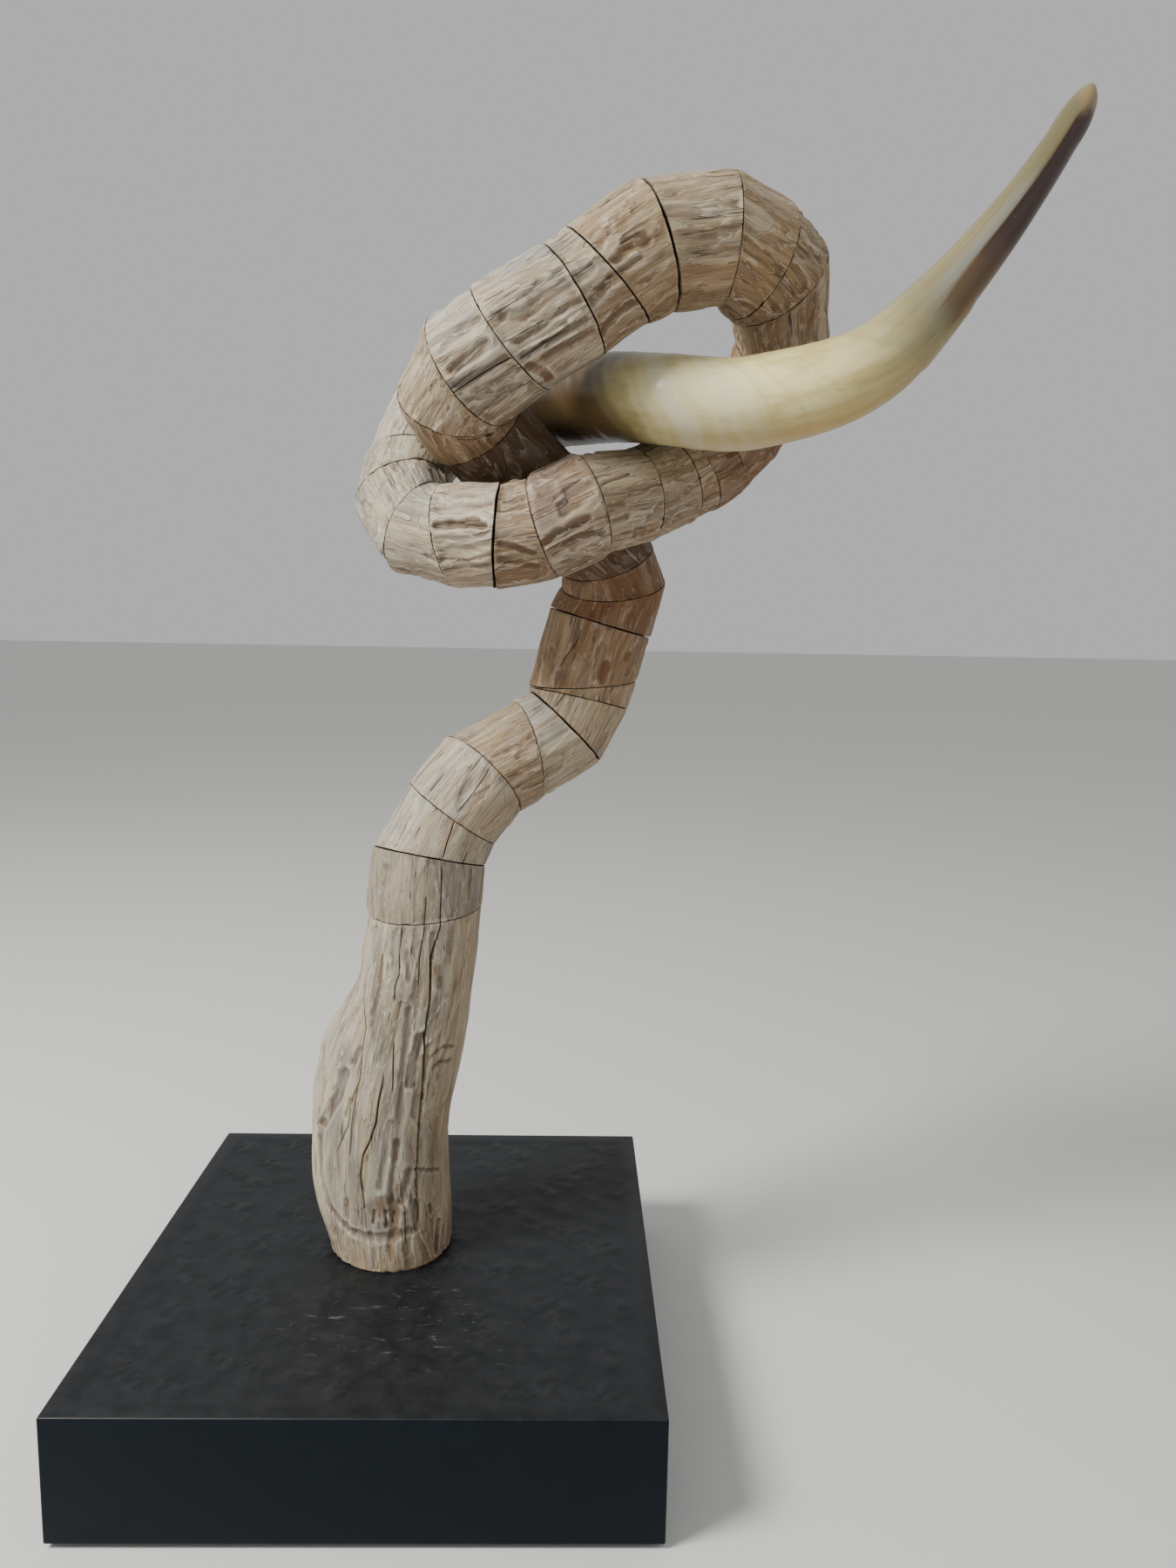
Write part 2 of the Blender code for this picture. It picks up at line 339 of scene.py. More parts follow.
def make_wood_group():
    """Weathered driftwood: fibres, split-off flakes, grey and brown stains, cracks darkened with painted
    shade, and painted light and shade on crests, hollows and sides.
    """
    inputs = [
        ("Tan", "NodeSocketColor", (0.29, 0.195, 0.098, 1)),
        ("Pale", "NodeSocketColor", (0.590, 0.475, 0.300, 1)),
        ("Grey", "NodeSocketColor", (0.165, 0.158, 0.142, 1)),
        ("Brown", "NodeSocketColor", (0.155, 0.064, 0.018, 1)),
        ("Grey Share", "NodeSocketFloat", 0.62),
        ("Brown Share", "NodeSocketFloat", 0.35),
        ("Flake Share", "NodeSocketFloat", 0.6),
    ]
    outputs = [
        ("Color", "NodeSocketColor"),
        ("Roughness", "NodeSocketFloat"),
        ("Height", "NodeSocketFloat"),
    ]
    make, given, put = new_group("driftwood_surface", inputs, outputs)
    grain = make.attribute("grain", "Vector")
    fibre = make.noise(grain, (1000, 1000, 34), 5, 0.62)
    streak = make.noise(grain, (260, 260, 12), 3, 0.55, 0.4, shift=(3, 1, 7))
    patch = make.noise(grain, (75, 75, 15), 3, 0.55, 0.6, shift=(11, 5, 2))
    stain = make.noise(grain, (95, 95, 22), 3, 0.5, 0.8, shift=(1, 17, 4))

    # Steps of a soft height are split-off flakes, with a lip above each step and painted shade under it
    depth = make.times(make.noise(grain, (85, 85, 17), 3, 0.5, 0.4, shift=(5, 2, 8)), 9.0)
    over = make.maths("FRACT", depth)
    level = make.maths("FLOOR", depth)
    shade = make.add("ShaderNodeTexWhiteNoise", {"W": level}, noise_dimensions="1D").outputs["Value"]
    ledge = make.span(over, 0.84, 1.0)
    foot = make.times(make.span(over, 0.70, 0.88), make.span(over, 1.0, 0.90))
    lip = make.span(over, 0.14, 0.0)

    light = make.plus(make.times(fibre, 0.55), make.times(streak, 0.45))
    hue = make.noise(grain, (120, 120, 17), 3, 0.55, 0.7, shift=(9, 9, 3))
    grey_place = make.plus(make.span(patch, 0.50, 0.66, 0.0, 0.7), make.attribute("grey"), True)
    # Bleach all over, and painted light on the side facing the key light
    bleach_and_painted_light_place = make.times(make.attribute("bleach_and_painted_light"), make.span(patch, 0.35, 0.6, 0.35, 1.0))
    brown_place = make.times(make.span(stain, 0.50, 0.72), given["Brown Share"])
    colour = make.layers(
        make.blend(make.span(light, 0.39, 0.61), given["Tan"], given["Pale"]),
        (make.span(hue, 0.50, 0.64, 0.0, 0.55), (0.40, 0.305, 0.135, 1)),
        (make.span(hue, 0.45, 0.32, 0.0, 0.50), (0.30, 0.305, 0.285, 1)),
        # Bleached grey-white, partly painted light
        (bleach_and_painted_light_place, make.blend(light, (0.37, 0.37, 0.32, 1), (0.58, 0.575, 0.49, 1))),
        (make.times(grey_place, given["Grey Share"]), given["Grey"]),
        # Brown stains, and painted shade on the side away from the key light
        (make.plus(brown_place, make.attribute("brown"), True), given["Brown"]),
    )

    # Each flake is a little paler or deeper than the rest
    tone = make.times(make.minus(shade, 0.5), given["Flake Share"])
    tone = make.plus(tone, make.times(make.attribute("layer"), 0.5))
    paler = make.blend(0.5, colour, (0.74, 0.66, 0.52, 1))
    colour = make.blend(make.maths("MAXIMUM", tone, 0.0), colour, paler)
    deeper = make.blend(0.62, colour, (0.17, 0.115, 0.075, 1))
    colour = make.blend(make.maths("MAXIMUM", make.times(tone, -1.0), 0.0), colour, deeper)

    # Fine checks along the grain, here and there
    check = make.noise(grain, (330, 330, 9), 1.5, 0.5, 0.2, shift=(7, 3, 9))
    check = make.maths("ABSOLUTE", make.minus(check, 0.5))
    where = make.noise(grain, (90, 90, 34), 1, 0.5, shift=(2, 8, 1))
    check = make.maths("LESS_THAN", check, make.span(where, 0.46, 0.70, 0.0, 0.018))

    # wear is how far a point stands above its neighbours: crests are painted paler, partly as wear and
    # partly as a painted highlight, and hollows darker as painted shade
    wear = make.attribute("wear")
    colour = make.layers(
        colour,
        (make.times(make.times(lip, given["Flake Share"]), 0.45), (0.80, 0.72, 0.58, 1)),
        # Painted shade under each flake's ledge
        (make.times(make.times(foot, given["Flake Share"]), 0.62), (0.085, 0.055, 0.036, 1)),
        # Paler on crests, partly wear and partly a painted highlight
        (make.span(wear, 0.2, 1.6, 0.0, 0.24), (0.82, 0.75, 0.62, 1)),
        # Painted shade in the hollows
        (make.span(wear, -0.3, -1.8, 0.0, 0.55), (0.10, 0.065, 0.042, 1)),
        (make.times(check, 0.75), (0.050, 0.030, 0.020, 1)),
        # Painted shade, near black, down the cracks and in the seams at the logs' ends
        (make.span(make.attribute("crack"), 0.25, 0.8), (0.022, 0.014, 0.010, 1)),
    )
    height = make.plus(level, ledge)
    height = make.times(height, make.times(given["Flake Share"], 0.62))
    height = make.plus(height, make.times(light, 0.6))
    height = make.minus(height, make.times(check, 0.6))
    roughness = make.span(light, 0.3, 0.7, 0.72, 0.56)
    make.fill(put, {"Color": colour, "Roughness": roughness, "Height": height})
    return make.tree


def make_wood(name, group, **colours):
    """Driftwood in the tones of one stretch of the limb."""
    material, make, shader = new_material(name)
    sockets = {key.replace("_", " ").title(): value for key, value in colours.items()}
    surface = make.add("ShaderNodeGroup", sockets, node_tree=group).outputs
    looks = {
        "Base Color": surface["Color"],
        "Roughness": surface["Roughness"],
        "Normal": make.bump(surface["Height"], 0.9 * MM, 0.9),
        "Specular IOR Level": 0.35,
    }
    make.fill(shader.inputs, looks)
    return material


def make_horn_material():
    """Polished horn: growth bands by the base with painted shade at its very end and a painted highlight
    past them, cream further on, dark down one side to the tip.
    """
    material, make, shader = new_material("polished_horn")
    grain = make.attribute("grain", "Vector")
    along = make.attribute("along")
    band = make.attribute("band")
    wash = make.noise(grain, (30, 30, 24), 3, 0.55)
    cloud = make.noise(grain, (60, 60, 13), 4, 0.6, 0.5, shift=(4, 2, 1))
    strand = make.noise(grain, (420, 420, 12), 4, 0.6)
    scratch = make.noise(grain, (900, 900, 14), 3, 0.7, shift=(2, 4, 6))
    bent = make.plus(band, make.times(wash, 0.045))
    row = make.add("ShaderNodeCombineXYZ", {"Z": bent}).outputs[0]
    bands = make.noise(row, (1, 1, 42), 1.5, 0.45)
    stray = make.times(make.minus(wash, 0.5), 0.10)
    edge = make.plus(along, stray)
    base = make.plus(band, stray)

    cream = make.blend(make.span(cloud, 0.35, 0.65), (0.54, 0.43, 0.155, 1), (0.81, 0.73, 0.37, 1))
    olive = make.blend(make.span(bands, 0.28, 0.70), (0.095, 0.062, 0.026, 1), (0.25, 0.20, 0.095, 1))
    tilt = make.span(make.minus(base, edge), -0.035, 0.012)
    umber = make.blend(tilt, (0.215, 0.140, 0.060, 1), (0.052, 0.034, 0.015, 1))
    umber = make.blend(make.span(bands, 0.40, 0.62, 0.0, 0.4), umber, (0.165, 0.094, 0.040, 1))
    # A painted highlight: a pale milky band just past the growth bands
    painted_highlight = make.times(make.span(base, 0.23, 0.29), make.span(base, 0.42, 0.33))
    painted_highlight = make.times(painted_highlight, make.span(bands, 0.45, 0.6, 0.30, 0.78))
    grey_olive = make.blend(strand, (0.15, 0.125, 0.062, 1), (0.325, 0.288, 0.155, 1))
    green = make.blend(strand, (0.085, 0.072, 0.032, 1), (0.20, 0.175, 0.085, 1))
    blue = make.times(make.attribute("blue"), make.span(strand, 0.35, 0.6, 0.3, 0.85))
    streaks = make.plus(make.attribute("dark"), make.times(make.minus(strand, 0.5), 0.45))
    brown = make.blend(make.span(edge, 0.66, 0.80), (0.125, 0.070, 0.026, 1), (0.034, 0.013, 0.007, 1))
    speck = make.noise(grain, (260, 260, 900), 2, 0.6, shift=(5, 5, 5))
    teeth = make.times(make.maths("SINE", make.times(along, 1770.0)), make.attribute("teeth"))
    colour = make.layers(
        cream,
        (make.span(bands, 0.36, 0.56, 0.30, 0.0), (0.40, 0.33, 0.15, 1)),
        (make.span(base, 0.30, 0.18), olive),
        (make.span(edge, 0.27, 0.20, 0.0, 0.85), umber),
        # Painted shade, near black, at the horn's base
        (make.span(edge, 0.19, 0.08, 0.0, 0.92), (0.028, 0.018, 0.010, 1)),
        # The painted highlight
        (painted_highlight, (0.63, 0.61, 0.455, 1)),
        (make.span(edge, 0.47, 0.64), grey_olive),
        (make.span(edge, 0.70, 0.90, 0.0, 0.85), green),
        (blue, (0.23, 0.24, 0.23, 1)),
        (make.span(streaks, 0.25, 0.62), brown),
        (make.span(edge, 0.945, 0.985), (0.27, 0.195, 0.09, 1)),
        (make.attribute("under"), (0.34, 0.20, 0.055, 1)),
        (make.span(speck, 0.70, 0.76, 0.0, 0.55), (0.25, 0.15, 0.05, 1)),
        (make.span(teeth, 0.1, 0.9, 0.0, 0.35), (0.66, 0.47, 0.20, 1)),
    )
    height = make.plus(make.times(scratch, 0.6), make.times(teeth, 0.8))
    height = make.plus(height, make.times(cloud, 0.5))
    looks = {
        "Base Color": colour,
        "Roughness": make.span(strand, 0.3, 0.7, 0.26, 0.38),
        "Normal": make.bump(height, 0.3 * MM, 0.4),
        "Subsurface Weight": 0.12,
        "Subsurface Radius": (1.0, 0.7, 0.35),
        "Subsurface Scale": 0.004,
        "Coat Weight": 0.08,
        "Coat Roughness": 0.16,
        "Specular IOR Level": 0.4,
    }
    make.fill(shader.inputs, looks)
    return material


def make_paint_material(name, deep, light, shine):
    """Black satin paint between two tones, scuffed where the mesh says so, and paler on the ridges as a
    painted highlight.
    """
    material, make, shader = new_material(name)
    place = make.add("ShaderNodeTexCoord", {}).outputs["Object"]
    mottle = make.noise(place, (60, 60, 60), 4, 0.6)
    fine = make.noise(place, (700, 700, 700), 3, 0.6)
    scratch = make.noise(place, (55, 210, 120), 4, 0.7, 1.2)
    mark = make.times(make.span(scratch, 0.60, 0.68), make.attribute("scuff"))
    colour = make.layers(
        make.blend(make.span(mottle, 0.35, 0.65), deep, light),
        # Paler on the trowel ridges, as a painted highlight
        (make.span(make.attribute("wear"), 0.2, 1.0, 0.0, 0.14), (0.045, 0.047, 0.050, 1)),
        (make.times(mark, 0.32), (0.20, 0.21, 0.215, 1)),
        (make.attribute("ring"), (0.002, 0.003, 0.006, 1)),
    )
    looks = {
        "Base Color": colour,
        "Roughness": make.span(mottle, 0.3, 0.7, 0.42, 0.56),
        "Normal": make.bump(fine, 0.12 * MM, 0.35),
        "Specular IOR Level": shine,
    }
    make.fill(shader.inputs, looks)
    return material


def make_felt_material():
    """Dark matted felt."""
    material, make, shader = new_material("felt")
    place = make.add("ShaderNodeTexCoord", {}).outputs["Object"]
    fuzz = make.noise(place, (1800, 1800, 1800), 3, 0.7)
    looks = {
        "Base Color": make.blend(fuzz, (0.010, 0.010, 0.011, 1), (0.045, 0.045, 0.047, 1)),
        "Normal": make.bump(fuzz, 0.4 * MM, 0.8),
        "Roughness": 0.95,
        "Sheen Weight": 0.3,
    }
    make.fill(shader.inputs, looks)
    return material


# Blanks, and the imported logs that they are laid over


def make_blank(name, columns, rows, halved=False):
    """A closed round blank of one unit, with columns of points round it and rows along it."""
    deselect_all()
    bpy.ops.mesh.primitive_cylinder_add(vertices=columns, radius=1, depth=1, end_fill_type="NGON")
    blank = bpy.context.object
    blank.name = name
    cuts = [(rows - 1) // 2 - 1, 1] if halved else [rows - 2]
    for count in cuts:
        select_upright_edges(blank)
        bpy.ops.object.mode_set(mode="EDIT")
        bpy.ops.mesh.subdivide(number_cuts=count)
        bpy.ops.object.mode_set(mode="OBJECT")
    return blank


def select_upright_edges(blank):
    """Only the edges that run along a blank, selected."""
    bpy.ops.object.mode_set(mode="EDIT")
    bpy.ops.mesh.select_mode(type="EDGE")
    bpy.ops.mesh.select_all(action="DESELECT")
    bpy.ops.object.mode_set(mode="OBJECT")
    heights = read_points(blank.data)[:, 2]
    ends = np.empty(len(blank.data.edges) * 2, dtype=np.int32)
    blank.data.edges.foreach_get("vertices", ends)
    upright = np.abs(np.diff(heights[ends.reshape(-1, 2)], axis=1)[:, 0]) > 1e-4
    blank.data.edges.foreach_set("select", upright)


def read_points(mesh):
    """A mesh's points as rows of three numbers."""
    points = np.empty(len(mesh.vertices) * 3)
    mesh.vertices.foreach_get("co", points)
    return points.reshape(-1, 3)


def flat_ends(points, triangles):
    """Which points lie on each of the two flat ends: the planes of triangles that hold the most."""
    first, second, third = np.moveaxis(points[triangles], 1, 0)
    normals = np.cross(second - first, third - first)
    normals /= np.maximum(np.linalg.norm(normals, axis=1, keepdims=True), 1e-12)
    offsets = (normals * first).sum(axis=1)
    held = np.abs(normals @ points.T - offsets[:, None]) < 0.03 * MM
    widest = held[held.sum(axis=1).argmax()]
    others = held & ~widest
    return widest, others[others.sum(axis=1).argmax()]


def read_rings(node, near):
    """The rings of points of a packed log, from the flat end that is nearer a place."""
    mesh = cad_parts[node].data
    mesh.calc_loop_triangles()
    indices = np.empty(len(mesh.loop_triangles) * 3, dtype=np.int32)
    mesh.loop_triangles.foreach_get("vertices", indices)
    points, places = np.unique(read_points(mesh).round(5), axis=0, return_inverse=True)
    triangles = places.reshape(-1)[indices].reshape(-1, 3)
    starts = [np.flatnonzero(end) for end in flat_ends(points, triangles)]
    starts.sort(key=lambda end: np.linalg.norm(points[end].mean(axis=0) - near))
    ring_of = np.full(len(points), -1)
    ring_of[starts[0]] = 0
    rings = [points[starts[0]]]
    while (ring_of < 0).any():
        touching = triangles[(ring_of[triangles] == len(rings) - 1).any(axis=1)]
        fresh = np.unique(touching[ring_of[touching] < 0])
        ring_of[fresh] = len(rings)
        rings.append(points[fresh])
    return rings


def waves(angles, count):
    """A constant and the first few sines and cosines of some angles."""
    turns = [np.ones_like(angles)]
    for number in range(1, count + 1):
        turns += [np.cos(number * angles), np.sin(number * angles)]
    return np.stack(turns, axis=-1)


class Surface:
    """The smooth surface of a packed log or horn, by the angle round it and the share along it."""

    def __init__(self, node, near, guide, wave_count):
        rings = read_rings(node, near)
        self.middles = np.array([ring.mean(axis=0) for ring in rings])
        steps = np.linalg.norm(np.diff(self.middles, axis=0), axis=1)
        self.length = steps.sum()
        self.shares = np.concatenate(([0], np.cumsum(steps))) / self.length
        self.wave_count = wave_count
        self.fits = []
        for ring, ahead in zip(rings, np.gradient(self.middles, axis=0)):
            ahead = ahead / np.linalg.norm(ahead)
            guide = guide - ahead * (guide @ ahead)
            guide /= np.linalg.norm(guide)
            reach = ring - ring.mean(axis=0)
            angles = np.arctan2(reach @ np.cross(ahead, guide), reach @ guide)
            self.fits.append(np.linalg.lstsq(waves(angles, wave_count), ring, rcond=None)[0])
        self.guide = guide
        self.girth = np.linalg.norm(rings[len(rings) // 2] - self.middles[len(rings) // 2], axis=1).mean()

    def between(self, rings, shares):
        """Smooth values between the rings, at a share along for each row and column."""
        slopes = np.gradient(rings, self.shares, axis=0)
        span = np.clip(np.searchsorted(self.shares, shares, side="right") - 1, 0, len(self.shares) - 2)
        width = (self.shares[span + 1] - self.shares[span])[..., None]
        step = (shares - self.shares[span])[..., None] / width
        picks = [(span + one)[None, ..., None] for one in (0, 1)]
        start, end = (np.take_along_axis(rings, pick, axis=0)[0] for pick in picks)
        rise, fall = (np.take_along_axis(slopes, pick, axis=0)[0] for pick in picks)
        return (
            start * (2 * step**3 - 3 * step**2 + 1)
            + rise * width * (step**3 - 2 * step**2 + step)
            + end * (3 * step**2 - 2 * step**3)
            + fall * width * (step**3 - step**2)
        )

    def points(self, angles, shares):
        """Points of the surface, and the way out from its axis at each."""
        terms = waves(angles, self.wave_count)
        rings = np.stack([terms @ fit for fit in self.fits])
        surface = self.between(rings, shares)
        shape = (len(self.middles), *angles.shape, 3)
        axis = self.between(np.broadcast_to(self.middles[:, None, None], shape), shares)
        out = surface - axis
        return surface, out / np.linalg.norm(out, axis=-1, keepdims=True), axis


# Marks on the wood, each traced on the photograph in its pixels


class Mark(NamedTuple):
    """A crack, gallery, gouge or knot: where it runs in the photograph, and its size in mm.

    A stain above 0 is brown and one below 0 is grey. A depth below 0 is a ridge. A steep gouge has
    walls and a flat bottom, and the others are round.
    """

    path: tuple
    half_width: float
    depth: float
    stain: float = 0.0
    steep: bool = False


CRACKS = {
    "trunk_foot": (
        Mark(
            ((505, 1062), (495, 1100), (494, 1150), (489, 1180))
            + ((487, 1250), (482, 1290), (480, 1330), (482, 1392)),
            1.1,
            6.0,
        ),
        Mark(
            ((419, 1125), (420, 1180), (413, 1240), (404, 1265))
            + ((400, 1290), (393, 1308), (387, 1320), (388, 1345)),
            0.5,
            3.0,
        ),
        Mark(
            ((440, 1240), (435, 1262), (431, 1290), (424, 1310)) + ((417, 1326), (414, 1350), (418, 1382)),
            0.9,
            4.5,
        ),
        Mark(((452, 1200), (450, 1252)), 0.6, 2.5),
        Mark(((461, 1066), (458, 1100), (459, 1148)), 0.6, 2.5),
        Mark(((487, 1063), (482, 1100), (481, 1130)), 0.45, 2.0),
        Mark(((465, 1385), (466, 1430)), 0.4, 1.8),
        Mark(((432, 1418), (433, 1455)), 0.4, 1.8),
        Mark(((472, 1430), (473, 1456)), 0.4, 1.8),
    ),
    "trunk_slice_01": (
        Mark(((507, 996), (507, 1058)), 0.6, 2.6),
        Mark(((490, 1031), (488, 1060)), 0.4, 1.6),
    ),
    "trunk_slice_02": (
        Mark(((520, 946), (513, 969), (508, 984)), 0.55, 2.4),
        Mark(((470, 937), (454, 972)), 0.4, 1.6),
    ),
    "trunk_slice_03": (
        Mark(((562, 884), (547, 904), (528, 930)), 0.45, 1.8),
        Mark(((508, 889), (493, 908)), 0.4, 1.5),
    ),
    "trunk_slice_06": (Mark(((648, 796), (638, 810)), 0.5, 2.0),),
    "trunk_slice_08": (Mark(((668, 722), (661, 738), (652, 750), (640, 768)), 0.45, 1.8),),
    "top_slice_01": (Mark(((516, 455), (552, 432), (588, 409)), 0.55, 2.6),),
    "top_slice_02": (
        Mark(((554, 349), (578, 335)), 0.4, 1.6),
        Mark(((596, 413), (622, 398), (645, 384)), 0.4, 1.6),
        Mark(((580, 393), (625, 368)), 0.3, 1.2),
    ),
    "top_slice_03": (Mark(((656, 316), (680, 300)), 0.35, 1.4),),
}

MARKS = {
    "trunk_foot": (
        Mark(((395, 1232), (389, 1255), (379, 1274), (370, 1290)), 4.2, 1.3, -0.9, True),
        Mark(
            ((370, 1290), (366, 1318), (369, 1350), (378, 1384), (391, 1403), (405, 1414)),
            3.4,
            1.1,
            -0.9,
            True,
        ),
        Mark(((405, 1414), (420, 1419), (445, 1421), (470, 1414)), 4.2, 0.9, -0.7),
        Mark(((412, 1206), (405, 1219)), 3.4, 1.0, -0.6, True),
        Mark(((430, 1070), (434, 1110), (432, 1160), (437, 1215)), 6.0, 0.6, -0.9, True),
        Mark(((482, 1190), (476, 1215), (472, 1245)), 4.6, 1.5, -0.5, True),
        Mark(((470, 1160), (466, 1200), (462, 1250), (458, 1290), (453, 1330)), 3.6, 1.1, -0.3),
        Mark(((449, 1292), (443, 1330), (436, 1365)), 3.6, 1.0, -0.4),
        Mark(((457, 1312), (452, 1345), (449, 1380)), 3.0, 1.1, -0.4),
        Mark(((497, 1072), (496, 1100)), 2.4, 0.8, -0.5, True),
        Mark(((504, 1112), (505, 1132)), 3.6, 1.0, 0.10),
        Mark(((521, 1201), (510, 1202), (496, 1213)), 1.5, 1.2, 0.30),
        Mark(((518, 1217), (506, 1219), (497, 1227)), 1.5, 1.2, 0.30),
        Mark(((511, 1150), (496, 1170), (481, 1186)), 1.3, -1.0, 0.0),
        Mark(((507, 1178), (494, 1196)), 1.2, -0.8, 0.0),
        Mark(((470, 1345), (466, 1362), (462, 1380)), 3.4, 1.3, -0.5),
        Mark(((478, 1342), (505, 1343)), 1.6, 1.2, 0.10, True),
        Mark(((478, 1380), (478, 1412)), 3.6, 1.2, -0.6),
        Mark(((495, 1384), (495, 1390)), 2.4, 1.2, 0.60),
        Mark(((505, 1402), (504, 1438)), 3.0, 1.2, 0.30, True),
        Mark(((432, 1388), (440, 1384), (452, 1388)), 8.0, 0.6, 0.55),
        Mark(((443, 1391), (443, 1408)), 1.2, 1.4, 0.60),
        Mark(((430, 1391), (428, 1405)), 1.2, 1.2, 0.50),
        Mark(((453, 1392), (450, 1405)), 1.2, 1.2, 0.50),
        Mark(((397, 1380), (398, 1398)), 2.8, 1.0, 0.10, True),
        Mark(((402, 1263), (396, 1280)), 2.0, 1.0, 0.10, True),
    ),
    "trunk_slice_08": (
        Mark(((695, 763), (691, 780)), 3.6, 0.8, 0.70),
        Mark(((721, 750), (719, 757)), 2.4, 0.6, 0.70),
        Mark(((703, 708), (701, 714)), 2.6, 0.6, 0.70),
        Mark(((684, 727), (682, 734)), 2.2, 0.6, 0.70),
    ),
    "turn_slice_01": (
        Mark(((561, 497), (565, 500)), 3.2, 6.0, 1.0),
        Mark(((527, 505), (545, 506), (560, 500)), 0.9, 1.2, 0.8),
    ),
    "top_slice_01": (
        Mark(((497, 394), (520, 378), (545, 366)), 3.0, 1.0, -0.8, True),
        Mark(((520, 425), (545, 405), (556, 396)), 4.0, 1.2, 0.25, True),
        Mark(((505, 440), (530, 428), (560, 412), (575, 398)), 1.6, -0.9, 0.0),
        Mark(((512, 446), (545, 430), (580, 410)), 2.6, 1.0, -0.9, True),
        Mark(((545, 450), (575, 436), (598, 422)), 2.8, 1.2, 0.35),
        Mark(((530, 466), (560, 452)), 3.2, 1.2, 0.30),
    ),
    "top_slice_02": (
        Mark(((606, 421), (624, 427), (631, 436)), 2.8, 1.2, 0.6, True),
        Mark(((562, 372), (572, 364)), 3.6, 0.9, 0.35, True),
        Mark(((580, 362), (600, 362), (625, 340), (655, 322)), 4.2, 1.0, 0.20, True),
        Mark(((592, 392), (625, 372), (655, 350), (668, 344)), 2.6, 1.5, 0.35),
        Mark(((600, 408), (640, 388), (672, 366)), 2.4, 1.5, -0.7),
        Mark(((605, 400), (640, 381), (668, 358)), 1.3, -1.1, 0.0),
        Mark(((628, 410), (655, 394), (678, 380)), 3.2, 1.3, 0.40),
        Mark(((630, 402), (655, 386), (678, 372)), 1.1, -0.9, 0.0),
    ),
    "top_slice_03": (
        Mark(((668, 352), (700, 325), (712, 316)), 3.6, 1.8, 0.45),
        Mark(((690, 385), (715, 358), (735, 345)), 4.0, 1.6, 0.50),
        Mark(((655, 325), (680, 305)), 3.6, 0.8, -0.6, True),
    ),
    "top_slice_04": (
        Mark(((706, 297), (722, 284), (744, 277)), 3.4, 2.0, 0.35),
        Mark(((712, 310), (735, 295)), 2.4, 1.4, 0.30),
        Mark(((716, 276), (738, 268)), 2.4, 1.2, 0.20),
    ),
    "front_slice_06": (
        Mark(((492, 584), (530, 581), (570, 577)), 1.5, 0.7, 0.35),
        Mark(((503, 603), (541, 600), (554, 603)), 3.2, 2.6, 0.45, True),
        Mark(((500, 619), (535, 618), (570, 612)), 2.2, 0.8, 0.15),
        Mark(((506, 633), (535, 630), (568, 624)), 3.0, 1.2, 0.25),
        Mark(((505, 644), (535, 643), (569, 636)), 1.4, 0.9, 0.40),
        Mark(((515, 657), (540, 655), (568, 649)), 3.0, 0.8, 0.15),
    ),
    "front_slice_05": (
        Mark(((574, 625), (592, 627), (612, 636)), 2.2, 1.8, 0.50),
        Mark(((574, 645), (592, 648), (615, 652)), 2.6, 1.4, 0.35),
        Mark(((580, 572), (600, 568)), 3.2, 1.0, -0.4),
    ),
    "front_slice_04": (
        Mark(((618, 626), (640, 609), (672, 594)), 2.8, 2.2, 0.45),
        Mark(((628, 628), (650, 615), (674, 601)), 1.4, -1.2, 0.0),
        Mark(((652, 645), (675, 632), (692, 628)), 4.6, 1.4, 0.10, True),
        Mark(((650, 624), (668, 615), (690, 612)), 2.6, 1.4, 0.45),
        Mark(((614, 556), (620, 580), (622, 598)), 9.0, 0.3, -1.2),
        Mark(((640, 560), (643, 582)), 7.0, 0.3, -1.1),
    ),
    "front_slice_03": (
        Mark(((680, 560), (700, 552), (722, 545)), 1.6, 1.2, 0.35),
        Mark(((690, 585), (715, 578)), 3.0, 1.2, 0.30),
        Mark(((700, 600), (722, 592)), 2.2, 1.4, 0.40),
    ),
    "end_slice_03": (Mark(((474, 557), (484, 550), (496, 548), (506, 551)), 1.8, 3.0, 0.9),),
    "end_slice_01": (Mark(((490, 640), (505, 645)), 2.4, 1.2, 0.20),),
    "end_slice_02": (
        Mark(((440, 632), (470, 640)), 2.0, 1.2, 0.25),
        Mark(((470, 596), (486, 594)), 1.4, 1.0, 0.30),
    ),
}


def place_marks(marks, surface, shares, columns):
    """Each mark's path as angles round the log and shares along it, from where it shows."""
    if not marks:
        return []
    angles = np.arange(columns) * TAU / columns
    angle_grid, share_grid = np.meshgrid(angles, shares)
    points, out, _ = surface.points(angle_grid, share_grid)
    pixels = seen_at(points)
    facing = ((np.array(camera_place()) - points) * out).sum(axis=-1) > 0
    placed = []
    for mark in marks:
        spots = []
        for pixel in mark.path:
            distance = np.hypot(*np.moveaxis(pixels - pixel, -1, 0)) + np.where(facing, 0, 1e6)
            spots.append(np.unravel_index(distance.argmin(), distance.shape))
        turns = np.unwrap([angle_grid[spot] for spot in spots])
        placed.append((turns, np.array([share_grid[spot] for spot in spots]), mark))
    return placed


# How many columns on each side are drawn to a crack, unless it wanders further
CRACK_REACH = 12


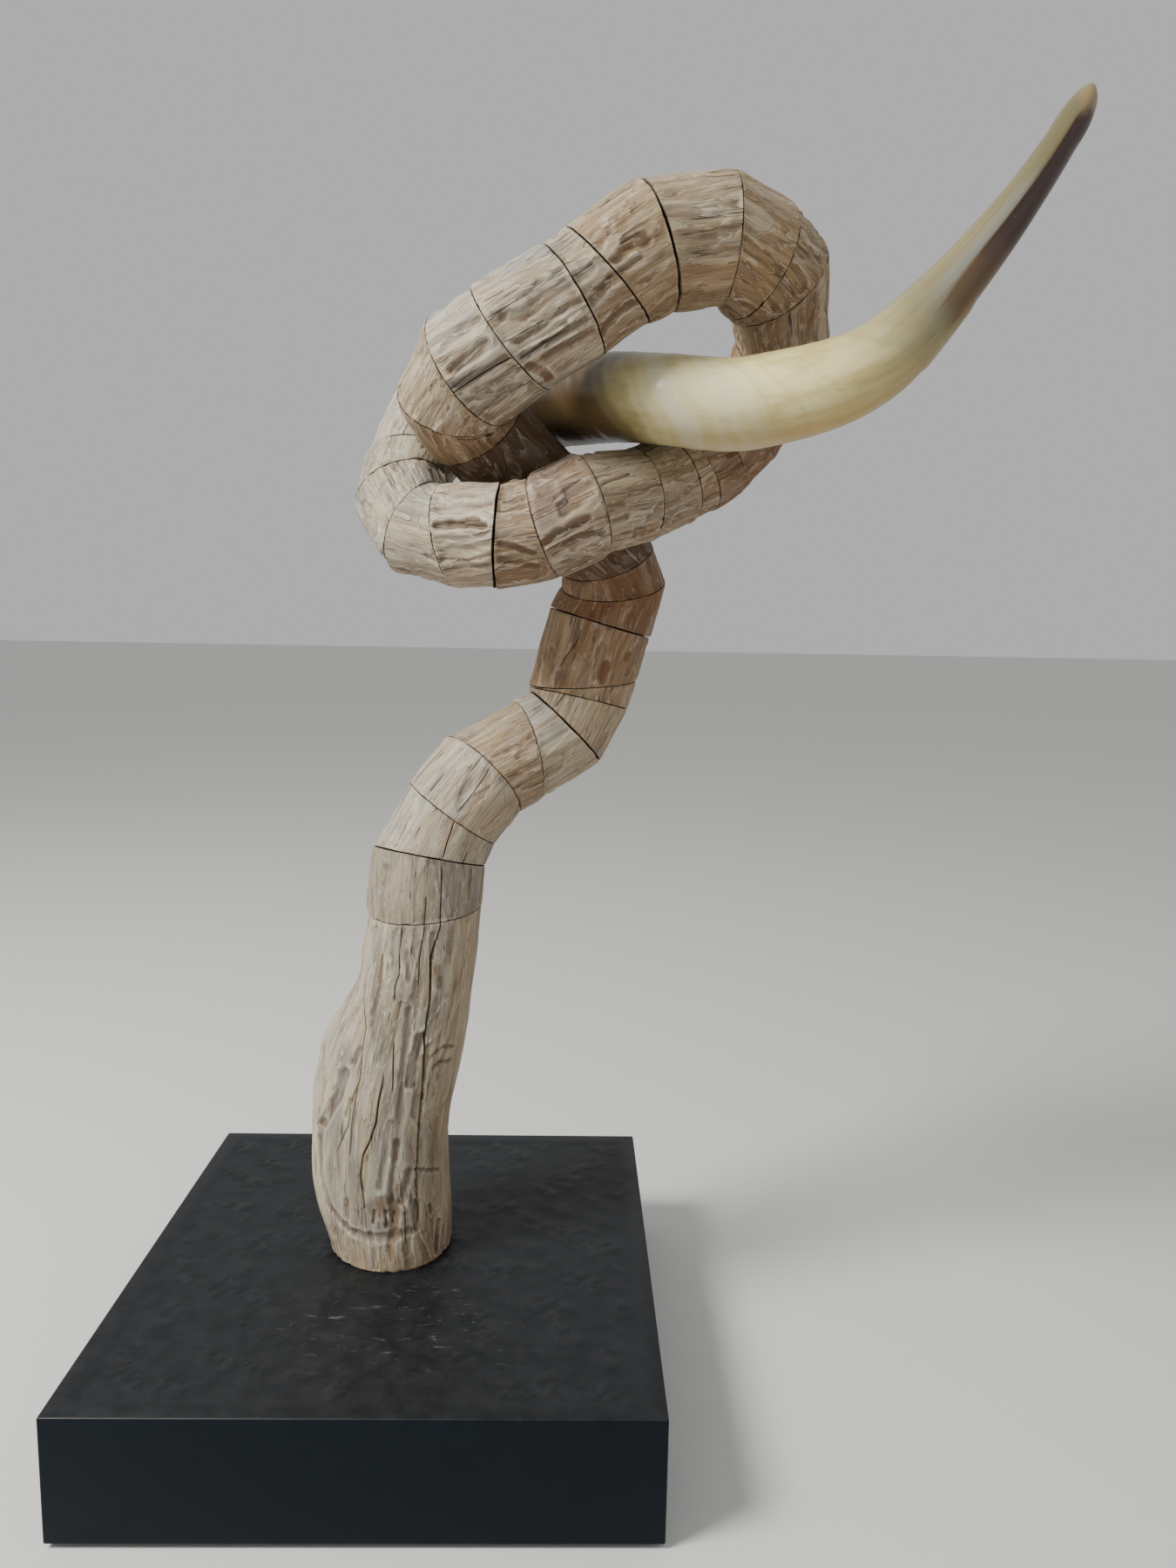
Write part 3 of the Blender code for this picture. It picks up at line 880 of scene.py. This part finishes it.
def open_cracks(cracks, angles, shares, girth):
    """Columns drawn to each crack, so that one lies along its bottom; how deep it is there, and where its
    bottom is painted dark as its shade.
    """
    columns = angles.shape[1]
    step = TAU / columns
    depth = np.zeros_like(angles)
    stain = np.zeros_like(angles)
    taken = []
    for turns, ways, mark in cracks:
        order = np.argsort(ways)
        turns, ways = turns[order], ways[order]
        even = shares.mean(axis=1)
        line = np.interp(even, ways, turns)
        edge = 0.10 * (ways[-1] - ways[0]) + 1e-6
        alive = ease(even, ways[0] - edge, ways[0] + edge) * ease(even, ways[-1] + edge, ways[-1] - edge)
        near = (angles - line[:, None] + math.pi) % TAU - math.pi
        middle = int((np.abs(near) * alive[:, None]).sum(axis=0).argmin())
        life = ease(even, ways[0] - 0.10, ways[0]) * ease(even, ways[-1] + 0.10, ways[-1])
        drift = -near[:, middle] * life
        reach = max(CRACK_REACH, math.ceil(2.2 * np.abs(drift).max() / step))
        for column, other in taken:
            if (other * life).max() > 0.02:
                away = abs((column - middle + columns // 2) % columns - columns // 2)
                reach = min(reach, away - 2)
        if reach < 3:
            continue
        taken.append((middle, life))
        drift = np.clip(drift, -reach * step / 1.8, reach * step / 1.8)
        for count in range(-reach, reach + 1):
            angles[:, (middle + count) % columns] += drift * (1 - (count / reach) ** 2) ** 2
        for way in (-1, 1):
            gap = (way * (angles[:, (middle + way) % columns] - angles[:, middle])) % TAU
            pull = (gap - mark.half_width * MM / girth) * alive
            for count in range(1, reach):
                angles[:, (middle + way * count) % columns] -= way * pull * (reach - count) / (reach - 1)
        depth[:, middle] -= mark.depth * MM * alive
        # The crack's bottom is painted dark as its shade
        stain[:, middle] = alive
    return depth, stain


def carve_marks(marks, angles, shares, surface, ragged):
    """How deep the galleries, gouges and knots are, and how brown and how grey."""
    depth = np.zeros_like(angles)
    brown = np.zeros_like(angles)
    grey = np.zeros_like(angles)
    for turns, ways, mark in marks:
        nearest = np.full(angles.shape, 1.0)
        middle = turns.mean()
        across = (angles - middle + math.pi) % TAU - math.pi
        across = (across[None] - (turns - middle)[:, None, None]) * surface.girth
        ahead = (shares[None] - ways[:, None, None]) * surface.length
        for number in range(len(turns) - 1):
            run = (across[number] - across[number + 1], ahead[number] - ahead[number + 1])
            reach = run[0] ** 2 + run[1] ** 2 + 1e-12
            slide = np.clip((across[number] * run[0] + ahead[number] * run[1]) / reach, 0, 1)
            away = np.hypot(across[number] - slide * run[0], ahead[number] - slide * run[1])
            nearest = np.minimum(nearest, away)
        edge = nearest / (mark.half_width * MM) * (1 + 0.38 * ragged)
        bottom = 1 - ease(edge, 0.60, 1.0) if mark.steep else np.clip(1 - edge**2, 0, 1)
        depth -= mark.depth * MM * bottom
        depth += 0.16 * mark.depth * MM * np.exp(-(((edge - 1.15) / 0.2) ** 2))
        stain = 0.7 * mark.stain * (1 - ease(edge, 0.60, 1.25))
        brown = np.maximum(brown, stain)
        grey = np.maximum(grey, -stain)
    return depth, brown, grey


# Where the trunk's foot changes its look, in the photograph's pixels
LOBE_MIDDLE = (398, 1290)
LOBE_HALF_SIZE = (34, 120)
GREY_STRIP_MIDDLE = (458, 1250)
GREY_STRIP_LEAN = 0.10
GREY_STRIP_HALF_WIDTH = 30
GREY_STRIP_END = (1430, 1400)
BROWN_BASE = (1395, 1470)


def smooth_lobe(points, out):
    """1 on the bare smooth lobe at the left of the trunk's foot, and 0 away from it."""
    pixels = seen_at(points)
    across, down = np.moveaxis((pixels - LOBE_MIDDLE) / LOBE_HALF_SIZE, -1, 0)
    return ease(-out[..., 0], -0.25, 0.25) * np.exp(-(across**2) - down**4)


def weathered_middle_and_painted_shade(points, out):
    """How grey the trunk's foot is down its middle, how brown at its right as painted shade, and how brown
    towards its base.
    """
    across, down = np.moveaxis(seen_at(points), -1, 0)
    aside = across - GREY_STRIP_MIDDLE[0] + (down - GREY_STRIP_MIDDLE[1]) * GREY_STRIP_LEAN
    strip = np.exp(-((aside / GREY_STRIP_HALF_WIDTH) ** 2)) * ease(out[..., 1], 0.2, -0.2)
    grey = 0.20 + 0.70 * strip * ease(down, *GREY_STRIP_END) + 0.25 * ease(out[..., 1], -0.2, 0.4)
    # Browner at the right as painted shade, and browner towards the base
    brown = 0.14 * ease(out[..., 0], 0.2, 0.9) + 0.18 * ease(down, *BROWN_BASE)
    return grey, brown


class Wear(NamedTuple):
    """How the weather has worked a log: how many scoops, their half size and depth in mm."""

    scoops: int
    half_width: float
    half_length: float
    depth: float
    ripple: float = 0.25


def worn_relief(angles, places, girth, length, wear, seed):
    """Scoops and split-off flakes along the grain, and the tone of each flake."""
    rng = np.random.default_rng(seed)
    wobble = rough(places, 4 * MM, 8 * MM, seed * 1.7) * 0.85
    relief = np.zeros_like(angles)
    layer = np.zeros_like(angles)
    ways = places[..., 2] - places[..., 2].min()
    for _ in range(wear.scoops):
        angle, way = rng.uniform(0, TAU), rng.uniform(-0.05, 1.05) * length
        half_width = wear.half_width * MM * rng.uniform(0.6, 1.5)
        half_length = wear.half_length * MM * rng.uniform(0.6, 1.5)
        ahead = ways - way
        across = ((angles - angle + math.pi) % TAU - math.pi) * girth - ahead * rng.normal(0, 0.12)
        inside = 1 - (across / half_width) ** 2 - np.abs(ahead / half_length) ** 3 - wobble
        depth = wear.depth * MM * rng.uniform(0.4, 1.2)
        if rng.random() < 0.5:
            relief = np.minimum(relief, -depth * np.clip(inside, 0, 1) ** 0.7)
        else:
            cut = ease(inside, 0.0, 0.22)
            relief = np.minimum(relief, -0.8 * depth * cut)
            layer = layer * (1 - cut) + rng.uniform(-1, 0.8) * cut
    relief += wear.ripple * MM * rough(places, 4.2 * MM, 26 * MM, seed + 60.5)
    relief += 1.1 * MM * rough(places, 15 * MM, 26 * MM, seed + 30.5)
    relief += rng.uniform(0.2, 0.9) * MM * np.cos(angles - rng.uniform(0, TAU))
    relief += rng.uniform(0.2, 0.6) * MM * np.cos(2 * angles - rng.uniform(0, TAU))
    return relief, layer


def row_shares(rows):
    """How far along each row of a blank stands, closer together towards its ends."""
    even = np.arange(rows - 2) / (rows - 3)
    return 0.55 * even + 0.45 * (1 - np.cos(math.pi * even)) / 2


# How deep the slots between the logs go
SLOT_DEPTH = 4.0 * MM

# How a log's rims are worn: how wide a rim is, how deep its chips are and how far it is rounded
RIM_WIDTH = 3 * MM
CHIP_DEPTH = 0.9 * MM
RIM_ROUNDING = 0.28 * MM

# How far the burl stands out, how far the foot's base is drawn in, and how much deeper its marks are
BURL_RISE = 1.8 * MM
FOOT_WAIST = 3.0 * MM
FOOT_MARK_SHARE = 1.2

# The way out of the wood's side away from the key light, which is painted browner as shade; the wood is
# bleached all over, and paler still on the side facing the light as painted light
SHADED_SIDE = np.array((0.42, -0.10, -0.90))


def store(mesh, name, values, kind="FLOAT"):
    """Keeps a value at each point of a mesh for its material."""
    field = mesh.attributes.new(name, kind, "POINT")
    part = "vector" if kind == "FLOAT_VECTOR" else "value"
    field.data.foreach_set(part, values.ravel().astype(np.float32))


def shade(mesh, degrees):
    """Shades a mesh smooth, but for its edges sharper than an angle."""
    mesh.shade_smooth()
    mesh.set_sharp_from_angle(angle=math.radians(degrees))


def lay_over(blank, name, points, fields, grain):
    """A copy of a blank with its points laid out, and with its fields stored."""
    rows, columns = points.shape[:2]
    start = read_points(blank.data)
    column = np.rint((np.arctan2(start[:, 1], start[:, 0]) % TAU) / TAU * columns).astype(int) % columns
    row = np.rint((start[:, 2] + 0.5) * (rows - 1)).astype(int)
    piece = bpy.data.objects.new(name, blank.data.copy())
    bpy.context.scene.collection.objects.link(piece)
    piece.data.vertices.foreach_set("co", points[row, column].ravel())
    for key, values in fields.items():
        store(piece.data, key, values[row, column])
    store(piece.data, "grain", grain[row, column], "FLOAT_VECTOR")
    shade(piece.data, 70)
    piece.data.update()
    return piece


def make_log(node, number, blank, near, guide, seams, wear, tone):
    """One worn log: a blank, with its rows and columns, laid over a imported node.

    seams are how far it opens below and above, in mm. tone is how grey it is and how brown.
    """
    round_piece, rows, columns = blank
    surface = Surface(node, near, guide, FOOT_WAVES if node == "trunk_foot" else LOG_WAVES)
    even = row_shares(rows)
    angles = np.tile(np.arange(columns) * TAU / columns, (rows, 1))
    rims, _, _ = surface.points(angles[:2], np.array([[0.0], [1.0]]) * np.ones((2, columns)))
    lengths = np.linalg.norm(rims[1] - rims[0], axis=1)
    gape = [ease(rough(rims[end][None], 14 * MM, 14 * MM, 3.0 + number)[0], -0.5, 0.4) for end in (0, 1)]
    lips = [np.minimum(MM * seams[end] * (0.45 + 0.8 * gape[end]) / lengths, 0.3) for end in (0, 1)]
    shares = np.zeros((rows, columns))
    shares[1:-1] = lips[0] + (1 - lips[0] - lips[1]) * even[:, None]
    shares[-1] = 1

    ways = np.linspace(0.01, 0.99, rows)
    cracks = place_marks(CRACKS.get(node, ()), surface, ways, columns)
    marks = place_marks(MARKS.get(node, ()), surface, ways, columns)
    crack_depth, painted_crack_shade = open_cracks(cracks, angles, shares, surface.girth)
    points, out, axis = surface.points(angles, shares)
    places = grain_places(surface.girth, angles, shares * lengths + number * 0.37)
    relief, layer = worn_relief(angles, places, surface.girth, lengths.mean(), wear, number)
    if node == "trunk_foot":
        relief *= 1 - 0.85 * smooth_lobe(points, out)
        tone = weathered_middle_and_painted_shade(points, out)
    ragged = rough(places, 3.5 * MM, 7 * MM, number + 0.8)
    gouged, browned, greyed = carve_marks(marks, angles, shares, surface, ragged)
    relief += gouged * (FOOT_MARK_SHARE if node == "trunk_foot" else 1.0)
    if node == "front_slice_04":
        relief += BURL_RISE
    from_rim = np.minimum(shares * lengths, (1 - shares) * lengths)
    relief *= 0.35 + 0.65 * ease(from_rim, 0.0, RIM_WIDTH)
    if node == "trunk_foot":
        relief -= FOOT_WAIST * ease(shares, 0.16, 0.01) * out[..., 0] ** 2
    chips = ease(rough(places * (1, 1, 0.15), 5 * MM, 5 * MM, number + 0.5), 0.22, 0.6)
    relief -= CHIP_DEPTH * chips * np.exp(-from_rim / (RIM_WIDTH / 2))
    # Stored as wear: crests are painted paler, partly as wear and partly as a painted highlight, and hollows
    # darker as painted shade
    crest = (relief - blur(relief, 10)) / (0.45 * MM)
    relief += crack_depth
    rounding = RIM_ROUNDING * np.exp(-from_rim / (0.7 * MM))
    moved = points + out * (relief - rounding)[..., None]
    for end in (0, -1):
        reach = points[end] - axis[end]
        moved[end] = axis[end] + reach * (1 - SLOT_DEPTH / np.linalg.norm(reach, axis=1, keepdims=True))
    # The ends in the slots between logs, and the rows beside them, are painted dark as the seams' shade
    painted_crack_shade[0] = painted_crack_shade[-1] = 1.0
    painted_crack_shade[1] = np.maximum(painted_crack_shade[1], 0.45)
    painted_crack_shade[-2] = np.maximum(painted_crack_shade[-2], 0.45)
    # Painted shade: browner on the side away from the key light
    painted_shade_side = ease(out @ SHADED_SIDE, 0.0, 1.0) * 0.34
    fields = {
        "wear": crest,
        "crack": painted_crack_shade,
        "layer": layer,
        # Bleached all over, paler still as painted light on the side facing the key light, and less where
        # the log is brown
        "bleach_and_painted_light": (0.56 + 0.38 * ease(-out @ SHADED_SIDE, -0.1, 0.9)) * np.clip(1 - tone[1] / 0.3, 0, 1),
        "brown": np.clip(painted_shade_side + tone[1] + browned, 0, 1),
        "grey": tone[0] + greyed,
    }
    piece = lay_over(round_piece, "wood_" + node, moved, fields, places)
    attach(piece, "root")
    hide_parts(node)
    return piece, surface


def make_limb(woods):
    """All the logs, from the plinth up and round to the horn."""
    log_blank = (make_blank("log_blank", LOG_COLUMNS, LOG_ROWS), LOG_ROWS, LOG_COLUMNS)
    foot_blank = (make_blank("foot_blank", FOOT_COLUMNS, FOOT_ROWS, True), FOOT_ROWS, FOOT_COLUMNS)
    near = np.array(camera_place())
    near[2] = FAR_BELOW
    guide = np.array((1.0, 0.0, 0.0))
    widths = [OPEN_SEAMS.get(node, TIGHT_SEAM) for node in LIMB] + [TIGHT_SEAM]
    widths[0] = LOWEST_SEAM
    for number, node in enumerate(LIMB):
        blank = foot_blank if node == "trunk_foot" else log_blank
        family = node.split("_")[0]
        wear = WEAR.get(node, WEAR[family])
        tone = TONES.get(node, TONES.get(family, (0.0, 0.0)))
        seams = (widths[number], widths[number + 1])
        piece, surface = make_log(node, number, blank, near, guide, seams, wear, tone)
        piece.data.materials.append(woods.get(node, woods[family]))
        near = surface.middles[-1]
        guide = surface.guide
    for blank, _, _ in (log_blank, foot_blank):
        bpy.data.objects.remove(blank)
    return near, guide


WEAR = {
    "trunk_foot": Wear(110, 2.8, 24, 1.3),
    "trunk": Wear(26, 4.5, 15, 1.2),
    "inner": Wear(22, 5.0, 16, 1.4),
    "turn": Wear(20, 7.0, 16, 1.6),
    "top": Wear(22, 6.8, 22, 1.6),
    "bend": Wear(20, 8.0, 22, 1.8),
    "right": Wear(26, 6.0, 20, 1.3),
    "front": Wear(22, 6.5, 16, 1.6),
    "front_slice_06": Wear(26, 3.0, 13, 1.2),
    "front_slice_04": Wear(26, 5.0, 9, 1.6),
    "end": Wear(28, 5.5, 12, 1.6),
    "back": Wear(22, 6.5, 15, 1.6),
}

# How grey and how brown each log is beyond the rest; the inner and right logs' high brown is partly painted
# shade
TONES = {
    "trunk_slice_01": (0.85, 0.05),
    "trunk_slice_02": (0.30, 0.0),
    "trunk_slice_03": (0.15, 0.05),
    "trunk_slice_04": (0.1, 0.24),
    "trunk_slice_05": (-0.2, 0.0),
    "trunk_slice_06": (0.0, 0.18),
    "trunk_slice_07": (0.0, 0.38),
    "trunk_slice_08": (0.0, 0.56),
    "trunk_slice_09": (0.0, 0.80),
    "trunk_slice_10": (0.0, 0.72),
    # Browner partly as painted shade, as the inner logs sit in deep shade
    "inner": (0.0, 0.84),
    "turn_slice_01": (0.0, 0.40),
    "turn_slice_02": (0.1, 0.16),
    "top_slice_01": (0.20, 0.0),
    "top_slice_02": (0.12, 0.0),
    "top_slice_03": (0.10, 0.12),
    "top_slice_04": (-0.2, 0.22),
    "top_slice_05": (-0.3, 0.20),
    "bend": (-0.4, 0.27),
    # Browner partly as painted shade
    "right": (-0.4, 0.64),
    "front_slice_01": (-0.4, 0.36),
    "front_slice_02": (-0.4, 0.26),
    "front_slice_03": (-0.8, 0.16),
    "front_slice_04": (0.30, 0.28),
    "front_slice_05": (0.36, 0.26),
    "front_slice_06": (0.20, 0.04),
    "end": (0.42, 0.0),
    "back_slice_01": (0.08, 0.0),
    "back_slice_02": (0.0, 0.32),
    "back_slice_03": (0.0, 0.50),
}


# How far the horn's growth bands slant, and the shares along it where its tip and its teeth are
BAND_SLANT = 18 * MM
TIP_START = 0.975
TEETH_SPAN = (0.585, 0.60, 0.67, 0.69)


def make_horn(near, guide, material):
    """The horn, with faint growth ridges by its base and fine teeth under its bend."""
    blank = make_blank("horn_blank", HORN_COLUMNS, HORN_ROWS, True)
    surface = Surface("horn", near, guide, HORN_WAVES)
    angles = np.tile(np.arange(HORN_COLUMNS) * TAU / HORN_COLUMNS, (HORN_ROWS, 1))
    shares = np.concatenate(([0], np.linspace(0.0005, 0.9995, HORN_ROWS - 2), [1]))
    shares = np.tile(shares[:, None], (1, HORN_COLUMNS))
    points, out, axis = surface.points(angles, shares)
    places = grain_places(surface.girth, angles, shares * surface.length)
    slant = shares * surface.length + BAND_SLANT * (out @ np.array((0.0, 0.45, 1.0)))
    slant += 3 * MM * rough(places, 30 * MM, 30 * MM, 3.0)
    ridge = rough(np.stack((slant * 0, slant * 0, slant), axis=-1), 1, 7 * MM, 5.0)
    relief = 0.40 * MM * ridge * ease(shares, 0.62, 0.30)
    relief += 0.5 * MM * rough(places, 24 * MM, 50 * MM, 9.0)
    teeth = ease(out @ unit(0.70, -0.15, -0.60), 0.72, 0.98) * window(shares, *TEETH_SPAN)
    relief += 0.9 * MM * teeth
    relief += 2.0 * MM * ease(shares, 0.90, TIP_START)
    moved = points + out * relief[..., None]
    tip = np.clip((shares - TIP_START) / (1 - TIP_START), 0, 1)
    moved = axis + (moved - axis) * np.where(tip > 0, np.sqrt(1 - 0.97 * tip**2), 1)[..., None]
    moved[0] = axis[0] + (points[0] - axis[0]) * 0.97
    dark_side = ease(out @ unit(0.75, -0.42, -0.52), 0.02, 0.62)
    front = ease(out @ unit(0.10, -0.95, 0.05), 0.70, 0.98)
    fields = {
        "along": shares,
        "band": slant / surface.length,
        "dark": dark_side * window(shares, 0.55, 0.74, 0.93, TIP_START),
        "blue": front * window(shares, 0.60, 0.68, 0.80, 0.86),
        "teeth": teeth,
        "under": 0.62 * ease(-out[..., 2], 0.30, 1.0) * window(shares, 0.20, 0.45, 0.62, 0.75),
    }
    piece = lay_over(blank, "steer_horn", moved, fields, places)
    bpy.data.objects.remove(blank)
    piece.data.materials.append(material)
    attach(piece, "root")
    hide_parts("horn")


# The plinth and its feet

BORDER = 12 * MM
EDGE_ROUND = 1.2 * MM
FIELD_CUTS = 200
FILLET_HEIGHT = 1.4 * MM
FILLET_WIDTH = 3.5 * MM
PAD_RADIUS = 12.5 * MM
PAD_EDGE = 0.6 * MM
FRAY = 0.2 * MM

# The scuffed oval's middle, from the middle of the trunk's foot, and its half size
SCUFF_MIDDLE = (0.02, -0.10)
SCUFF_HALF_SIZE = (0.11, 0.07)


def select_faces(piece, wanted):
    """Goes into edit mode with only the wanted faces of a piece selected."""
    bpy.ops.object.mode_set(mode="EDIT")
    bpy.ops.mesh.select_mode(type="FACE")
    bpy.ops.mesh.select_all(action="DESELECT")
    bpy.ops.object.mode_set(mode="OBJECT")
    for face in piece.data.polygons:
        face.select = wanted(face)
    bpy.ops.object.mode_set(mode="EDIT")


def rounded(name, width):
    """The solid that was just added, named and with its edges rounded."""
    piece = bpy.context.object
    piece.name = name
    bpy.ops.object.transform_apply(location=True, rotation=True, scale=True)
    edge = piece.modifiers.new("edge", "BEVEL")
    edge.width = width
    edge.segments = 3
    bpy.ops.object.modifier_apply(modifier="edge")
    return piece


def trowelled(spots):
    """How high the filler on the plinth's top stands, in mm, and where its ridges are."""
    across, ahead = spots[:, 0] + spots[:, 1], (spots[:, 1] - spots[:, 0]) * 0.55
    turned = np.stack((across, ahead, spots[:, 2] * 0), axis=-1)
    swell = rough(turned, 16 * MM, 1, 2.0)
    lump = rough(turned + swell[:, None] * 4 * MM, 6.5 * MM, 1, 8.0)
    ridge = np.exp(-((lump / 0.22) ** 2)) * ease(rough(turned, 22 * MM, 1, 15.0), -0.25, 0.35)
    chatter = rough(turned, 2.6 * MM, 1, 21.0)
    return 0.40 * swell + 1.15 * ridge + 0.32 * chatter - 0.75, ridge


def scuffed(spots, front):
    """Where the plinth's top is scuffed: an oval before the foot, and a line along the front."""
    foot_low, foot_high = corners("trunk_foot")
    foot = np.array((foot_low + foot_high) / 2)[:2]
    oval = np.linalg.norm((spots[:, :2] - foot - SCUFF_MIDDLE) / SCUFF_HALF_SIZE, axis=1)
    line = ease(np.abs(spots[:, 1] - front), 5 * MM, 2 * MM)
    line *= ease(np.abs(spots[:, 0] - foot[0]), 0.16, 0.05)
    return np.maximum(ease(oval, 1.0, 0.3), line)


def make_plinth(top, sides):
    """The block: a crisp smooth border round a field of trowelled filler, and plain sides in a darker, bluer
    copy of the paint, as painted shade.
    """
    low, high = corners("plinth")
    middle, size = (low + high) / 2, high - low
    deselect_all()
    bpy.ops.mesh.primitive_cube_add(size=1, location=middle, scale=size)
    plinth = rounded("plinth_block", EDGE_ROUND)
    select_faces(plinth, lambda face: face.normal.z > 0.99 and face.area > 0.05)
    bpy.ops.mesh.inset(thickness=BORDER, depth=0)
    bpy.ops.mesh.subdivide(number_cuts=FIELD_CUTS)
    bpy.ops.object.mode_set(mode="OBJECT")
    points = read_points(plinth.data)
    inset = size.x / 2 - EDGE_ROUND - BORDER
    beside = np.maximum(np.abs(points[:, 0] - middle.x), np.abs(points[:, 1] - middle.y))
    field = (points[:, 2] > high.z - 0.01 * MM) & (beside < inset - 0.01 * MM)
    spots = points[field]
    height, ridge = trowelled(spots)
    fade = ease(inset - beside[field], 0.0, 4 * MM)
    glued = read_rings("trunk_foot", (middle.x, middle.y, FAR_BELOW))[0][:, :2]
    beside_foot = np.linalg.norm(spots[:, None, :2] - glued[None], axis=2).min(axis=1)
    fillet = FILLET_HEIGHT * np.exp(-((beside_foot / FILLET_WIDTH) ** 2))
    points[field, 2] += height * MM * fade + fillet
    plinth.data.vertices.foreach_set("co", points.ravel())
    fields = {
        # Stored as wear: the paint is paler on the ridges as a painted highlight
        "wear": ridge * fade,
        "scuff": scuffed(spots, low.y + BORDER),
        "ring": ease(beside_foot, 5.5 * MM, 2.5 * MM),
    }
    for key, values in fields.items():
        whole = np.zeros(len(points))
        whole[field] = values
        store(plinth.data, key, whole)
    shade(plinth.data, 50)
    plinth.data.materials.append(top)
    plinth.data.materials.append(sides)
    # The sides take the darker, bluer copy of the paint, as painted shade
    for face in plinth.data.polygons:
        face.material_index = int(face.center.z < high.z - EDGE_ROUND / 2 and face.normal.z < 0.7)
    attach(plinth, "root")
    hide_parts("plinth")


def make_feet(material):
    """The four felt pads, with their edges frayed a little."""
    for place in ("front_left", "front_right", "back_left", "back_right"):
        node = "foot_pad_" + place
        low, high = corners(node)
        deselect_all()
        bpy.ops.mesh.primitive_cylinder_add(
            vertices=64,
            radius=(high.x - low.x) / 2 - FRAY,
            depth=high.z - low.z,
            location=(low + high) / 2,
            end_fill_type="NGON",
        )
        pad = rounded("felt_" + node, PAD_EDGE)
        points = read_points(pad.data)
        middle = np.array((low + high) / 2)
        fray = rough(points, 2.2 * MM, 2.2 * MM, 4.0) * 0.9 * FRAY
        points[:, :2] += (points[:, :2] - middle[:2]) / PAD_RADIUS * fray[:, None]
        pad.data.vertices.foreach_set("co", points.ravel())
        shade(pad.data, 50)
        pad.data.materials.append(material)
        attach(pad, "root")
        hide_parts(node)


make_camera()
make_studio()
wood_group = make_wood_group()
WOODS = {
    "trunk": make_wood("driftwood_trunk", wood_group, flake_share=0.45),
    "top": make_wood("driftwood_knot", wood_group, flake_share=0.65),
    # A darker copy of the driftwood, as painted shade for the inner logs
    "inner": make_wood(
        "driftwood_inner_painted_shade",
        wood_group,
        tan=(0.24, 0.145, 0.075, 1),
        pale=(0.37, 0.25, 0.145, 1),
        brown=(0.085, 0.040, 0.015, 1),
    ),
    "front_slice_04": make_wood("driftwood_burl", wood_group, grey=(0.22, 0.165, 0.165, 1), flake_share=1.0),
}
for stretch in STRETCHES:
    WOODS.setdefault(stretch, WOODS["top"])
horn_near, horn_guide = make_limb(WOODS)
make_horn(horn_near, horn_guide, make_horn_material())
make_plinth(
    make_paint_material("black_paint", (0.006, 0.0075, 0.009, 1), (0.012, 0.0135, 0.016, 1), 0.32),
    # A darker, bluer copy of the paint for the sides, as painted shade
    make_paint_material("black_paint_sides_painted_shade", (0.0030, 0.0062, 0.0100, 1), (0.0040, 0.0078, 0.0120, 1), 0.12),
)
make_feet(make_felt_material())
